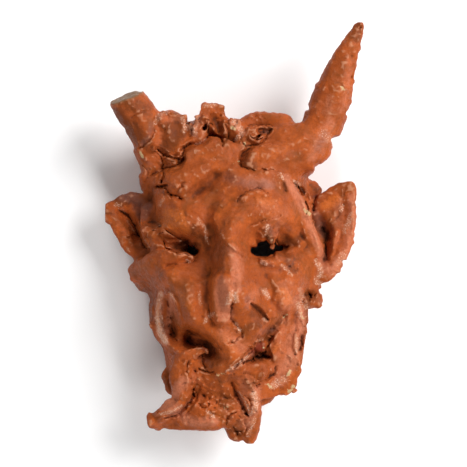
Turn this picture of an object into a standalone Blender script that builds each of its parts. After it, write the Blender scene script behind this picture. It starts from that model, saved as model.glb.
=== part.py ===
"""Terracotta devil mask.

One hollow piece of fired clay: a long face with a big nose, goat ears, a whole
horn on one side and a broken stump on the other, and clotted hair and beard.
It lies on the flat rim of its open back. +Z comes out of the face and +Y runs
from the beard to the horn tip.

The front is laid out on squared paper: x counts squares to the right, y counts
squares down, and depths count squares up from the rim. One square is HEIGHT /
SQUARES_TALL. The clay is built as a modeller would: a domed shell is swollen and
hollowed into a face, rolls of clay are laid on it, all is pressed together and
smoothed, then marked, and the inside is scooped out to an even wall.
"""

import math

import bmesh
import bpy
import numpy as np
from mathutils import Matrix, Vector
from mathutils.bvhtree import BVHTree

# Sizes in metres
HEIGHT = 0.338              # tip of the whole horn to the lowest lock of the beard
WALL = 0.012                # clay left between the face and the hollow behind it
RIGHT_EYE = (0.027, 0.013)  # width and height of the pierced right eye
LEFT_EYE = (0.010, 0.010)   # width and height of the pierced left eye

# The layout, in squares
SQUARES_TALL = 423.0
SQUARE = HEIGHT / SQUARES_TALL
MIDDLE = (233.6, 233.7)     # middle of the whole outline, where the origin is
CENTRE = (231.0, 264.0)     # middle of the face
CROWN = 96.0                # height of the plain dome over the rim
FOOT = 8.0                  # clay below the rim, cut away at the end

# How finely the clay is worked
GRAIN = 0.0024              # grain of the clay when it is pressed together
FRONT_FACES = 8200          # triangles kept on the outside
DISC = 48                   # spokes of the shell

FACE_EDGE = (
    (166, 126), (200, 122), (235, 123), (268, 121), (298, 128), (315, 152), (311, 182), (318, 214),
    (326, 246), (328, 268), (321, 290), (309, 314), (306, 340), (301, 360), (298, 378), (282, 395),
    (262, 410), (240, 424), (205, 424), (182, 410), (173, 392), (164, 372), (165, 357), (154, 338),
    (149, 324), (149, 300), (138, 286), (133, 270), (140, 250), (148, 226), (147, 204), (143, 186),
    (141, 165), (146, 144),
)


# Curves and the shell

def smooth_curve(points, steps=6):
    """A smooth line through the points, whatever numbers each point carries."""
    p = np.array(points, float)
    q = np.vstack([2 * p[0] - p[1], p, 2 * p[-1] - p[-2]])
    t = np.linspace(0, 1, steps, endpoint=False)[:, None]
    parts = []
    for a, b, c, d in zip(q[:-3], q[1:-2], q[2:-1], q[3:]):
        parts.append(0.5 * (2 * b + (c - a) * t + (2 * a - 5 * b + 4 * c - d) * t**2
                            + (3 * b - a - 3 * c + d) * t**3))
    return np.vstack(parts + [p[-1:]])


def dab_row(points, closeness):
    """The smooth line again, with its points a fraction of their own radius apart."""
    line = smooth_curve(points, 8)
    gaps = np.hypot(*(line[1:, :2] - line[:-1, :2]).T)
    radii = 0.5 * (line[1:, -1] + line[:-1, -1])
    counts = np.clip(np.ceil(gaps / (closeness * radii + 1e-6)), 1, 12).astype(int)
    rows = []
    for a, b, count in zip(line[:-1], line[1:], counts):
        rows.append(a + (b - a) * np.arange(count)[:, None] / count)
    return np.vstack(rows + [line[-1:]])


def edge_reach(angles):
    """Distance from CENTRE to the edge of the face, in squares, at each angle."""
    loop = smooth_curve(FACE_EDGE + FACE_EDGE[:3])[6:-6]
    out = loop - np.array(CENTRE)
    turn = np.arctan2(out[:, 1], out[:, 0])
    order = np.argsort(turn)
    return np.interp(angles, turn[order], np.hypot(out[:, 0], out[:, 1])[order], period=2 * math.pi)


def to_world(x, y, z):
    """Squares on the layout to metres."""
    return ((x - MIDDLE[0]) * SQUARE, (MIDDLE[1] - y) * SQUARE, z * SQUARE)


class Marks:
    """Marks worked into heights z over the layout: each one is a row of round dabs."""

    def __init__(self, x, y, z):
        self.x = x
        self.y = y
        self.z = z

    def near(self, line, reach):
        low = line[:, :2].min(axis=0) - reach
        high = line[:, :2].max(axis=0) + reach
        hit = (self.x > low[0]) & (self.x < high[0]) & (self.y > low[1]) & (self.y < high[1])
        return np.nonzero(hit)[0]

    def dab(self, height, points, profile):
        line = dab_row(points, 0.2)
        index = self.near(line, line[:, -1].max())
        best = np.zeros(len(index))
        for px, py, radius in line:
            away = ((self.x[index] - px) ** 2 + (self.y[index] - py) ** 2) / radius**2
            best = np.maximum(best, profile(np.clip(1 - away, 0, 1)))
        self.z[index] += height * best

    def swell(self, height, *points):
        """A soft rise, or a hollow where the height is below zero."""
        self.dab(height, points, lambda u: u * u)

    def cut(self, depth, *points):
        """A crack or tool cut with a sharp bottom."""
        self.dab(-depth, points, lambda u: 1 - np.sqrt(1 - u))

    def fold(self, height, fall, *points):
        """The edge of a sheet of clay, raised on the right of the line as it is drawn."""
        line = smooth_curve(points)
        index = self.near(line, 3 * fall)
        px = self.x[index]
        py = self.y[index]
        best = np.full(len(index), np.inf)
        side = np.zeros(len(index))
        soft = np.ones(len(index))
        along = np.zeros(len(index))
        run = np.concatenate([[0], np.cumsum(np.hypot(*(line[1:, :2] - line[:-1, :2]).T))])
        for i, (a, b) in enumerate(zip(line[:-1], line[1:])):
            ux = b[0] - a[0]
            uy = b[1] - a[1]
            t = np.clip(((px - a[0]) * ux + (py - a[1]) * uy) / (ux * ux + uy * uy), 0, 1)
            dx = px - a[0] - t * ux
            dy = py - a[1] - t * uy
            gap = np.hypot(dx, dy)
            closer = gap < best
            best = np.where(closer, gap, best)
            side = np.where(closer, np.sign(ux * dy - uy * dx) * gap, side)
            soft = np.where(closer, a[2] + (b[2] - a[2]) * t, soft)
            along = np.where(closer, run[i] + t * (run[i + 1] - run[i]), along)
        part = along / run[-1]
        ends = np.clip(np.minimum(part, 1 - part) / 0.22, 0, 1)
        step = np.clip(side / soft * 0.5 + 0.5, 0, 1)
        rise = (ends * ends * (3 - 2 * ends)) * (step * step * (3 - 2 * step))
        self.z[index] += height * rise * np.exp(-(np.clip(side, 0, None) / fall) ** 1.5)


def shape_face(clay):
    """The broad forms of the face on the plain dome."""
    # Forehead and brows
    clay.swell(13, (168, 182, 26), (195, 170, 34), (240, 160, 36), (285, 165, 28))
    clay.swell(8, (232, 186, 22), (264, 182, 24))
    clay.swell(17, (236, 218, 24), (258, 211, 29), (284, 213, 24))
    clay.swell(15, (158, 216, 17), (178, 219, 20), (196, 227, 14))
    clay.swell(-7, (207, 228, 10), (206, 250, 11), (207, 275, 8))
    # Nose: bridge, body, tip and wings
    clay.swell(16, (232, 232, 18), (233, 258, 24), (236, 292, 34))
    clay.swell(15, (230, 244, 18), (230, 272, 24), (231, 300, 26), (230, 313, 24))
    clay.swell(17, (248, 296, 24), (252, 314, 26))
    clay.swell(7, (192, 288, 14), (193, 314, 15))
    # Eye sockets
    clay.swell(-17, (266, 248, 14), (284, 243, 18), (303, 239, 13))
    clay.swell(-20, (257, 250, 11), (268, 249, 12), (280, 248, 9))
    clay.swell(-30, (158, 238, 8), (175, 244, 13), (190, 249, 14))
    # Cheeks
    clay.swell(12, (296, 280, 22), (286, 300, 26))
    clay.swell(19, (168, 276, 24), (184, 292, 30), (190, 312, 26))
    # Muzzle, the two sides of the mouth and the chin
    clay.swell(18, (208, 328, 18), (232, 340, 28), (256, 334, 22))
    clay.swell(18, (226, 362, 20), (246, 364, 20))
    clay.swell(-36, (184, 337, 9), (197, 341, 11), (208, 346, 11), (215, 352, 8))
    clay.swell(-30, (250, 357, 7), (262, 354, 10), (267, 341, 9), (277, 326, 7), (285, 316, 5))
    clay.swell(10, (196, 378, 22), (228, 380, 22), (252, 380, 20))
    clay.swell(8, (208, 396, 22), (232, 398, 24))


# Rolls of clay: how flat each is pressed, then points of x, y, depth and radius
HORNS = (
    (1.0, (158, 192, 44, 11), (155, 172, 50, 14), (152, 152, 56, 18), (146, 132, 62, 20), (137, 114, 66, 19.5),
     (126, 98, 70, 18), (120, 90, 72, 17)),
    (0.9, (262, 158, 60, 20), (284, 150, 62, 27), (302, 146, 64, 26), (319, 130, 64, 22), (328, 110, 66, 21),
     (334, 90, 70, 19), (341, 70, 74, 15.5), (348, 52, 78, 11.5), (355, 36, 81, 8), (359.5, 26, 83, 5)),
)
HAIR = (
    (0.9, (170, 126, 64, 16.5), (176, 130, 66, 15)),
    (0.8, (176, 140, 70, 14), (170, 150, 66, 12)),
    (0.8, (200, 140, 76, 8), (202, 124, 76, 8), (204, 111, 72, 7.5)),
    (0.8, (203, 109, 68, 6.5), (212, 108, 64, 6), (219, 109, 62, 6), (222, 120, 62, 5)),
    (0.8, (190, 132, 56, 11), (212, 128, 56, 14), (224, 130, 62, 11)),
    (0.8, (236, 128, 66, 11), (243, 136, 70, 8), (242, 150, 78, 7), (238, 162, 82, 6)),
    (0.8, (246, 124, 54, 9), (256, 119, 54, 8.5), (270, 120, 56, 9), (284, 124, 60, 11), (298, 134, 60, 12)),
    (0.6, (176, 178, 66, 13), (182, 164, 72, 17), (200, 154, 78, 17), (222, 152, 80, 15)),
    (0.6, (252, 160, 86, 11), (266, 157, 88, 13), (288, 160, 82, 13)),
    (0.7, (252, 131, 74, 5), (262, 129, 76, 5), (271, 131, 74, 4)),
    (0.6, (254, 146, 76, 5), (266, 145, 78, 7), (276, 140, 74, 8)),
    (1.0, (310, 186, 22, 9), (318, 191, 20, 7)),
)
EARS = (
    (0.6, (310, 214, 34, 14), (326, 210, 36, 16), (341, 201, 38, 15)),
    (0.6, (341, 200, 38, 15), (341, 222, 38, 17), (336, 240, 38, 18), (326, 256, 42, 17), (316, 270, 48, 14)),
    (0.7, (320, 199, 42, 5), (330, 194, 44, 5.5), (339, 188, 44, 6), (348, 187, 46, 6.5), (351, 200, 48, 6),
     (351, 222, 50, 7), (347, 244, 52, 7), (338, 262, 54, 8), (325, 277, 56, 8)),
    (0.6, (146, 208, 32, 15), (124, 213, 32, 15), (128, 230, 34, 16), (140, 244, 38, 16)),
    (0.7, (143, 199, 44, 6), (130, 197, 42, 6), (119, 203, 42, 7), (110.5, 211, 42, 7), (114, 223, 44, 7),
     (123, 238, 44, 7.5), (133, 252, 46, 7), (142, 254, 48, 6)),
)
CHEEKS = (
    (0.6, (137, 272, 40, 10), (150, 266, 68, 12), (166, 258, 86, 10), (182, 260, 90, 5)),
    (0.5, (147, 212, 50, 9), (150, 230, 56, 11), (158, 246, 68, 9)),
    (0.6, (286, 176, 74, 6), (299, 200, 72, 8), (308, 225, 68, 8), (318, 252, 60, 8)),
    (0.6, (312, 262, 50, 13), (308, 288, 52, 13)),
    (0.8, (302, 300, 54, 11), (316, 300, 46, 9)),
    (0.35, (296, 300, 60, 15), (291, 326, 64, 18), (285, 352, 64, 20), (280, 374, 62, 20), (270, 388, 58, 16)),
    (0.6, (184, 354, 82, 8), (172, 346, 74, 8), (161, 330, 62, 8), (158, 310, 60, 7), (163, 297, 64, 7),
     (170, 294, 72, 5), (177, 304, 80, 5), (182, 320, 82, 4.5)),
)
LIPS = (
    (0.5, (178, 380, 76, 11), (184, 364, 84, 12), (190, 355, 90, 9), (200, 350, 94, 6), (208, 348, 94, 4)),
    (0.9, (258, 347, 74, 6.5), (263, 345, 74, 6.5)),
    (0.5, (222, 374, 92, 7), (237, 365, 92, 6), (252, 355, 88, 4)),
    (0.4, (246, 373, 86, 10), (259, 370, 84, 11)),
)
BEARD = (
    (0.7, (186, 366, 82, 10), (185, 382, 80, 10.5), (179, 397, 74, 11), (165, 409, 66, 10.5), (153, 419, 58, 8.5)),
    (0.6, (158, 423, 48, 8), (178, 417, 56, 14), (205, 410, 66, 21), (222, 408, 68, 20)),
    (0.7, (248, 386, 80, 8), (253, 400, 76, 10), (252, 420, 68, 10), (250, 437, 58, 9.5)),
    (0.6, (236, 404, 70, 14), (239, 425, 58, 16)),
    (0.8, (168, 378, 30, 9), (173, 391, 30, 7)),
    (0.5, (260, 390, 68, 16), (268, 396, 62, 15)),
)
ROLLS = HORNS + HAIR + EARS + CHEEKS + LIPS + BEARD

# Where the left horn broke off: a point on the break and the way it faces
BREAK_POINT = (126, 98, 64)
BREAK_FACING = (-0.38, -0.91, 0.14)


def mark_clay(clay):
    """The marks pressed and cut into the joined clay."""
    # Hollows of the ears
    clay.swell(-9, (318, 222, 11), (326, 233, 11), (327, 246, 8), (325, 259, 6))
    clay.swell(-9, (120, 212, 7), (130, 222, 8), (137, 236, 7))
    # Brow sheet over the nose, its creases, and the thumbed hollow beside it
    clay.fold(8, 9, (228, 246, 6), (218, 236, 5), (214, 220, 5), (217, 206, 6), (228, 196, 8))
    clay.fold(5, 7, (237, 203, 4), (247, 195, 4), (258, 192, 4), (272, 198, 4))
    clay.swell(-6, (200, 190, 13), (222, 178, 13))
    # Nose: its sharp edge, the drag beside it and the slit nostril
    clay.fold(8, 12, (222, 330, 5), (216, 314, 5), (213, 292, 5), (215, 270, 7))
    clay.cut(9, (248, 300, 4), (257, 308, 5), (269, 320, 4))
    # Lower lid of the left eye, and the fold under it
    clay.fold(11, 10, (144, 236, 4), (156, 239, 4), (170, 244, 4), (182, 252, 4), (193, 262, 4))
    clay.cut(6, (168, 266, 4), (182, 262, 4), (194, 262, 3))
    # Gaps between the rolls of hair
    clay.cut(20, (157, 151, 5), (168, 158, 6), (180, 159, 6))
    clay.cut(12, (163, 169, 5), (176, 168, 5), (183, 160, 4))
    clay.cut(12, (157, 188, 4), (169, 189, 5), (180, 198, 4))
    clay.cut(9, (184, 150, 4), (194, 145, 4), (203, 143, 4), (212, 137, 4), (223, 142, 4))
    clay.cut(13, (206, 122, 5), (211, 132, 5))
    clay.cut(10, (190, 116, 5), (190, 134, 4))
    clay.cut(12, (250, 139, 4), (262, 136, 6), (270, 133, 4))
    clay.cut(9, (249, 150, 4), (242, 157, 4), (241, 166, 3))
    # Crevices in the temple, the lug of the cheek and the beard
    clay.cut(14, (296, 185, 4), (301, 190, 5), (307, 197, 4))
    clay.cut(11, (307, 296, 6), (311, 296, 6))
    clay.cut(14, (197, 386, 4), (190, 402, 5), (181, 412, 5), (166, 418, 4))
    clay.cut(12, (231, 380, 4), (237, 394, 5), (243, 405, 5), (248, 416, 4))


# Solids in Blender

def new_object(name, bm):
    bmesh.ops.recalc_face_normals(bm, faces=bm.faces[:])
    mesh = bpy.data.meshes.new(name)
    bm.to_mesh(mesh)
    bm.free()
    obj = bpy.data.objects.new(name, mesh)
    bpy.context.scene.collection.objects.link(obj)
    return obj


def bridge_rings(bm, rings):
    """Closed skin over a run of rings of as many points each, capped at both ends."""
    rows = [[bm.verts.new(point) for point in ring] for ring in rings]
    for low, high in zip(rows[:-1], rows[1:]):
        for i in range(len(low)):
            j = (i + 1) % len(low)
            bm.faces.new((low[i], low[j], high[j], high[i]))
    bm.faces.new(rows[0][::-1])
    bm.faces.new(rows[-1])


def dome_rings(bm, inset, height_at, ring_count):
    """Shell over the layout: rings shrink from the rim to the middle at heights height_at(x, y)."""
    angles = np.linspace(-math.pi, math.pi, DISC, endpoint=False)
    reach = edge_reach(angles) - inset
    rings = []
    foot = -FOOT - (2 if inset else 0)
    for ratio, height in [(1.0, foot)] + [(math.cos(0.5 * math.pi * k / ring_count), None)
                                          for k in range(ring_count)]:
        x = CENTRE[0] + ratio * reach * np.cos(angles)
        y = CENTRE[1] + ratio * reach * np.sin(angles)
        z = np.full(len(x), height) if height is not None else height_at(x, y, ratio)
        rings.append([to_world(*point) for point in zip(x, y, z)])
    bridge_rings(bm, rings)


def face_height(x, y, ratio):
    dome = CROWN * (1 - ratio**3.2) ** 0.5
    clay = Marks(x, y, np.full(len(x), dome))
    shape_face(clay)
    return np.maximum(clay.z, 0.0) if ratio == 1.0 else clay.z


def roll_rings(bm, flatness, points, sides=14):
    """A roll of clay along its points, rounded off at both ends and pressed flat towards the dome."""
    line = smooth_curve(points, 4)
    ahead = np.gradient(line[:, :3], axis=0)
    ahead /= np.linalg.norm(ahead, axis=1)[:, None]
    stations = []
    for k in (80, 55, 30):
        turn = math.radians(k)
        stations.append((line[0, :3] - ahead[0] * line[0, 3] * math.sin(turn), ahead[0],
                         line[0, 3] * math.cos(turn)))
    for point, way in zip(line, ahead):
        stations.append((point[:3], way, point[3]))
    for k in (30, 55, 80):
        turn = math.radians(k)
        stations.append((line[-1, :3] + ahead[-1] * line[-1, 3] * math.sin(turn), ahead[-1],
                         line[-1, 3] * math.cos(turn)))
    rings = []
    for middle, way, radius in stations:
        across = np.cross(way, (0, 0, 1))
        across /= np.linalg.norm(across)
        up = np.cross(across, way)
        ring = []
        for i in range(sides):
            turn = 2 * math.pi * i / sides
            point = middle + radius * (math.cos(turn) * across + flatness * math.sin(turn) * up)
            ring.append(to_world(*point))
        rings.append(ring)
    bridge_rings(bm, rings)


def evaluated_mesh(obj):
    """Keep what the object's modifiers make of it."""
    graph = bpy.context.evaluated_depsgraph_get()
    mesh = bpy.data.meshes.new_from_object(obj.evaluated_get(graph))
    obj.modifiers.clear()
    obj.data = mesh
    return obj


def press_together(obj):
    """Press shell and rolls into one body and smooth the joins."""
    press = obj.modifiers.new("Press", 'REMESH')
    press.mode = 'VOXEL'
    press.voxel_size = GRAIN
    soften = obj.modifiers.new("Soften", 'SMOOTH')
    soften.factor = 0.5
    soften.iterations = 5
    return evaluated_mesh(obj)


def mark_surface(obj):
    """Move the points that look forwards by the marks over them."""
    mesh = obj.data
    count = len(mesh.vertices)
    at = np.empty(count * 3)
    mesh.vertices.foreach_get("co", at)
    at = at.reshape(-1, 3)
    facing = np.empty(count * 3)
    mesh.vertices.foreach_get("normal", facing)
    facing = np.clip(facing.reshape(-1, 3)[:, 2] / 0.4, 0, 1)
    clay = Marks(at[:, 0] / SQUARE + MIDDLE[0], MIDDLE[1] - at[:, 1] / SQUARE, np.zeros(count))
    mark_clay(clay)
    at[:, 2] += clay.z * facing * SQUARE
    mesh.vertices.foreach_set("co", at.ravel())
    mesh.update()


def thin_out(obj, triangles):
    thin = obj.modifiers.new("Thin", 'DECIMATE')
    thin.use_collapse_triangulate = True
    thin.ratio = triangles / (2 * len(obj.data.polygons))
    return evaluated_mesh(obj)


def cutter(name, bm):
    obj = new_object(name, bm)
    obj.hide_render = True
    obj.display_type = 'WIRE'
    return obj


def break_cutter():
    """Block that takes the left horn off at its break."""
    facing = Vector((BREAK_FACING[0], -BREAK_FACING[1], BREAK_FACING[2])).normalized()
    size = 60 * SQUARE
    bm = bmesh.new()
    bmesh.ops.create_cube(bm, size=size)
    turn = facing.to_track_quat('Z', 'Y').to_matrix().to_4x4()
    place = Matrix.Translation(Vector(to_world(*BREAK_POINT)) + facing * size / 2)
    bmesh.ops.transform(bm, matrix=place @ turn, verts=bm.verts[:])
    return cutter("break", bm)


def back_cutter():
    """Block below the rim."""
    bm = bmesh.new()
    bmesh.ops.create_cube(bm, size=1.0)
    bmesh.ops.transform(bm, matrix=Matrix.Translation((0, 0, -0.5)), verts=bm.verts[:])
    return cutter("back", bm)


def hollow_cutter(outside):
    """The inside, scooped out to leave WALL of clay behind every point of the front."""
    bm = bmesh.new()
    bm.from_mesh(outside.data)
    tree = BVHTree.FromBMesh(bm)
    bm.free()
    wall = WALL / SQUARE
    around = [(0, 0)] + [(wall * r * math.cos(a), wall * r * math.sin(a))
                         for r in (0.5, 1.0) for a in np.linspace(0, 2 * math.pi, 10, endpoint=False)]

    def height_at(x, y, ratio):
        if ratio == 1.0:
            return np.full(len(x), 14.0)
        heights = []
        for px, py in zip(x, y):
            lows = []
            for dx, dy in around:
                start = Vector(to_world(px + dx, py + dy, 400))
                hit = tree.ray_cast(start, Vector((0, 0, -1)))[0]
                lows.append(hit.z / SQUARE if hit else 0.0)
            heights.append(min(lows) - wall)
        return np.maximum(np.minimum(heights, CROWN * (1 - ratio**4) ** 0.5), 14.0)

    hollow = bmesh.new()
    dome_rings(hollow, wall, height_at, 12)
    return cutter("hollow", hollow)


def eye_cutter(name, x, y, size, lean):
    """Oval plug that pierces an eye from front to hollow."""
    bm = bmesh.new()
    bmesh.ops.create_cone(bm, cap_ends=True, segments=14, radius1=0.5, radius2=0.5, depth=0.1)
    place = (Matrix.Translation(to_world(x, y, 45)) @ Matrix.Rotation(math.radians(lean), 4, 'Z')
             @ Matrix.Diagonal((size[0], size[1], 0.8, 1)))
    bmesh.ops.transform(bm, matrix=place, verts=bm.verts[:])
    return cutter(name, bm)


def carve(obj, tools):
    for tool in tools:
        cut = obj.modifiers.new(tool.name, 'BOOLEAN')
        cut.operation = 'DIFFERENCE'
        cut.solver = 'EXACT'
        cut.object = tool
    evaluated_mesh(obj)
    for tool in tools:
        bpy.data.objects.remove(tool)
    return obj


def clay_material():
    material = bpy.data.materials.new("fired_clay")
    material.use_nodes = True
    shader = material.node_tree.nodes["Principled BSDF"]
    shader.inputs["Base Color"].default_value = (0.42, 0.115, 0.045, 1)
    shader.inputs["Roughness"].default_value = 0.55
    shader.inputs["Metallic"].default_value = 0.0
    return material


def build():
    for obj in list(bpy.data.objects):
        bpy.data.objects.remove(obj)

    bm = bmesh.new()
    dome_rings(bm, 0.0, face_height, 26)
    for flatness, *points in ROLLS:
        roll_rings(bm, flatness, points)
    mask = new_object("devil_mask", bm)

    press_together(mask)
    mark_surface(mask)
    thin_out(mask, FRONT_FACES)
    tools = [break_cutter(), hollow_cutter(mask), eye_cutter("right_eye", 267, 249, RIGHT_EYE, 6),
             eye_cutter("left_eye", 193, 250, LEFT_EYE, 0), back_cutter()]
    carve(mask, tools)
    mask.data.materials.clear()
    mask.data.materials.append(clay_material())
    mask.data.name = "devil_mask"
    return mask


build()
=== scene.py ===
# %% [markdown]
# # A devil's mask in terracotta
#
# The object is one hollow mask of coarse red clay. It was pulled up by hand from slabs, rolls and
# pellets, fired once, then stained and waxed. One horn has broken off and the right eye is pierced.
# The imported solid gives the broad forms. This lesson takes a copy of it and does what a maker does
# with the wet clay: presses pellets on, cuts cracks, drags fingers over it, and stains it at the end.

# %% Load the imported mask
import math
import random

import bpy
import numpy as np
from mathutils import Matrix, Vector
from mathutils.bvhtree import BVHTree


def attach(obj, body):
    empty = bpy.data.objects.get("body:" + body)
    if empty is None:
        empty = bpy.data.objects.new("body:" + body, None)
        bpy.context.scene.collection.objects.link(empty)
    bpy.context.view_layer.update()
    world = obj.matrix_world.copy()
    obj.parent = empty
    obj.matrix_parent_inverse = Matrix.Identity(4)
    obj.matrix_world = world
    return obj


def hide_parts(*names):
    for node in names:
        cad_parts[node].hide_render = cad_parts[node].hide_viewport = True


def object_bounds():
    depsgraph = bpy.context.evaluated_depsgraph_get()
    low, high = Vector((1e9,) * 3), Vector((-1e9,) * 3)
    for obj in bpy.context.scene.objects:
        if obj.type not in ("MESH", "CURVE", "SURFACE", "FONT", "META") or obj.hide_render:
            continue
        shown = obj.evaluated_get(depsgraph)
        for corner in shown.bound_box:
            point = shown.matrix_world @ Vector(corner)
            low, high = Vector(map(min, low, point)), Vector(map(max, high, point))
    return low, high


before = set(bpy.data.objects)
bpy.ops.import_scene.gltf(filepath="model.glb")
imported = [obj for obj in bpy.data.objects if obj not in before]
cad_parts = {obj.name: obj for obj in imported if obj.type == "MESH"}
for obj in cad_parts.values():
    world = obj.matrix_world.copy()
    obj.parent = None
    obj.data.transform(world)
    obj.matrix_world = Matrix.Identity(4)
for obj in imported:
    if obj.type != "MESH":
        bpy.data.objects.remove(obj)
solid_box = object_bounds()
scene = bpy.context.scene
random.seed(7)
print("solid box", [[round(v, 4) for v in corner] for corner in solid_box])

# %% [markdown]
# ## The layout
#
# All places on the face are given in squares of a flat layout, x to the right and y downwards, as one
# reads a drawing. The mask is 423 squares from the horn tip to the beard and 338 mm tall, so a square
# is 0.8 mm. Heights over the table are in the same squares. Keeping one unit for everything makes a
# mark easy to move: its numbers can be read off the drawing.

# %% Layout of the face
HEIGHT = 0.338
SQUARES_TALL = 423
SQUARE = HEIGHT / SQUARES_TALL
MIDDLE = (233.6, 233.7)


def to_world(x, y, z):
    """Squares on the layout to metres."""
    return Vector(((x - MIDDLE[0]) * SQUARE, (MIDDLE[1] - y) * SQUARE, z * SQUARE))


def smooth_curve(points, steps=6):
    """A soft line through the points, each a row of numbers of which the first two are x and y."""
    p = np.array(points, float)
    if len(p) == 1:
        p = np.vstack([p, p + 0.01])
    ends = np.vstack([2 * p[0] - p[1], p, 2 * p[-1] - p[-2]])
    t = np.arange(steps)[:, None] / steps
    rows = []
    for a, b, c, d in zip(ends[:-3], ends[1:-2], ends[2:-1], ends[3:]):
        rows.append(0.5 * (2 * b + (c - a) * t + (2 * a - 5 * b + 4 * c - d) * t**2
                           + (3 * b - a - 3 * c + d) * t**3))
    return np.vstack(rows + [p[-1:]])


print("one square is", round(SQUARE * 1000, 3), "mm")

# %% [markdown]
# ## A copy of the solid
#
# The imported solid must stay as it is, so the work is done on a copy of its mesh. An imported mesh is
# a heap of loose triangles; merging the points that lie on one another makes it one closed skin again,
# which the tools after this need.

# %% Copy the solid and merge its triangles
SAME_POINT = 0.00002


def select_only(obj):
    bpy.ops.object.select_all(action="DESELECT")
    obj.select_set(True)
    bpy.context.view_layer.objects.active = obj


bpy.ops.object.select_all(action="DESELECT")
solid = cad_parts["devil_mask"]
clay = bpy.data.objects.new("mask_clay", solid.data.copy())
scene.collection.objects.link(clay)
select_only(clay)
bpy.ops.object.mode_set(mode="EDIT")
bpy.ops.mesh.select_all(action="SELECT")
bpy.ops.mesh.remove_doubles(threshold=SAME_POINT)
bpy.ops.object.mode_set(mode="OBJECT")
print("copy has", len(clay.data.polygons), "triangles")

# %% [markdown]
# ## Pellets and shreds
#
# The hair, the beard and the right side of the face are covered with pellets that were pressed on and
# left as they were. A pellet could be a dent in the surface pushed outwards, but then it has no
# overhang and throws no shadow. So each one is a small ball, flattened, turned and made angular by
# moving its points, and half sunk in the surface. The remesh in the next step joins it to the body as
# pressing with a thumb would. Some hang free in the right eye, and some fill the left socket.

# %% Press pellets on
skin = BVHTree.FromObject(clay, bpy.context.evaluated_depsgraph_get())
SKY = 400 * SQUARE
FLATNESS = 0.6
LEAN = 0.5
ANGULAR = (0.55, 1.15)


def height_of(x, y):
    """Height of the front of the clay over the layout, in squares, or None beside the mask."""
    place = to_world(x, y, 0)
    hit = skin.ray_cast(Vector((place.x, place.y, SKY)), Vector((0, 0, -1)))[0]
    return None if hit is None else hit.z / SQUARE


def pellet(x, y, size, lift=0.3, long=1.0, turn=0.0, height=None):
    """A ball of that radius with its middle lifted by a part of it, drawn out along the turn."""
    ground = height_of(x, y) if height is None else height
    if ground is None:
        return
    bpy.ops.mesh.primitive_ico_sphere_add(subdivisions=2, radius=size * SQUARE,
                                          location=to_world(x, y, ground + lift * size),
                                          rotation=(random.uniform(-LEAN, LEAN), random.uniform(-LEAN, LEAN),
                                                    math.radians(-turn)),
                                          scale=(long, 1.0, FLATNESS))
    for point in bpy.context.object.data.vertices:
        point.co *= random.uniform(*ANGULAR)
    pellets.append(bpy.context.object)


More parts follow.
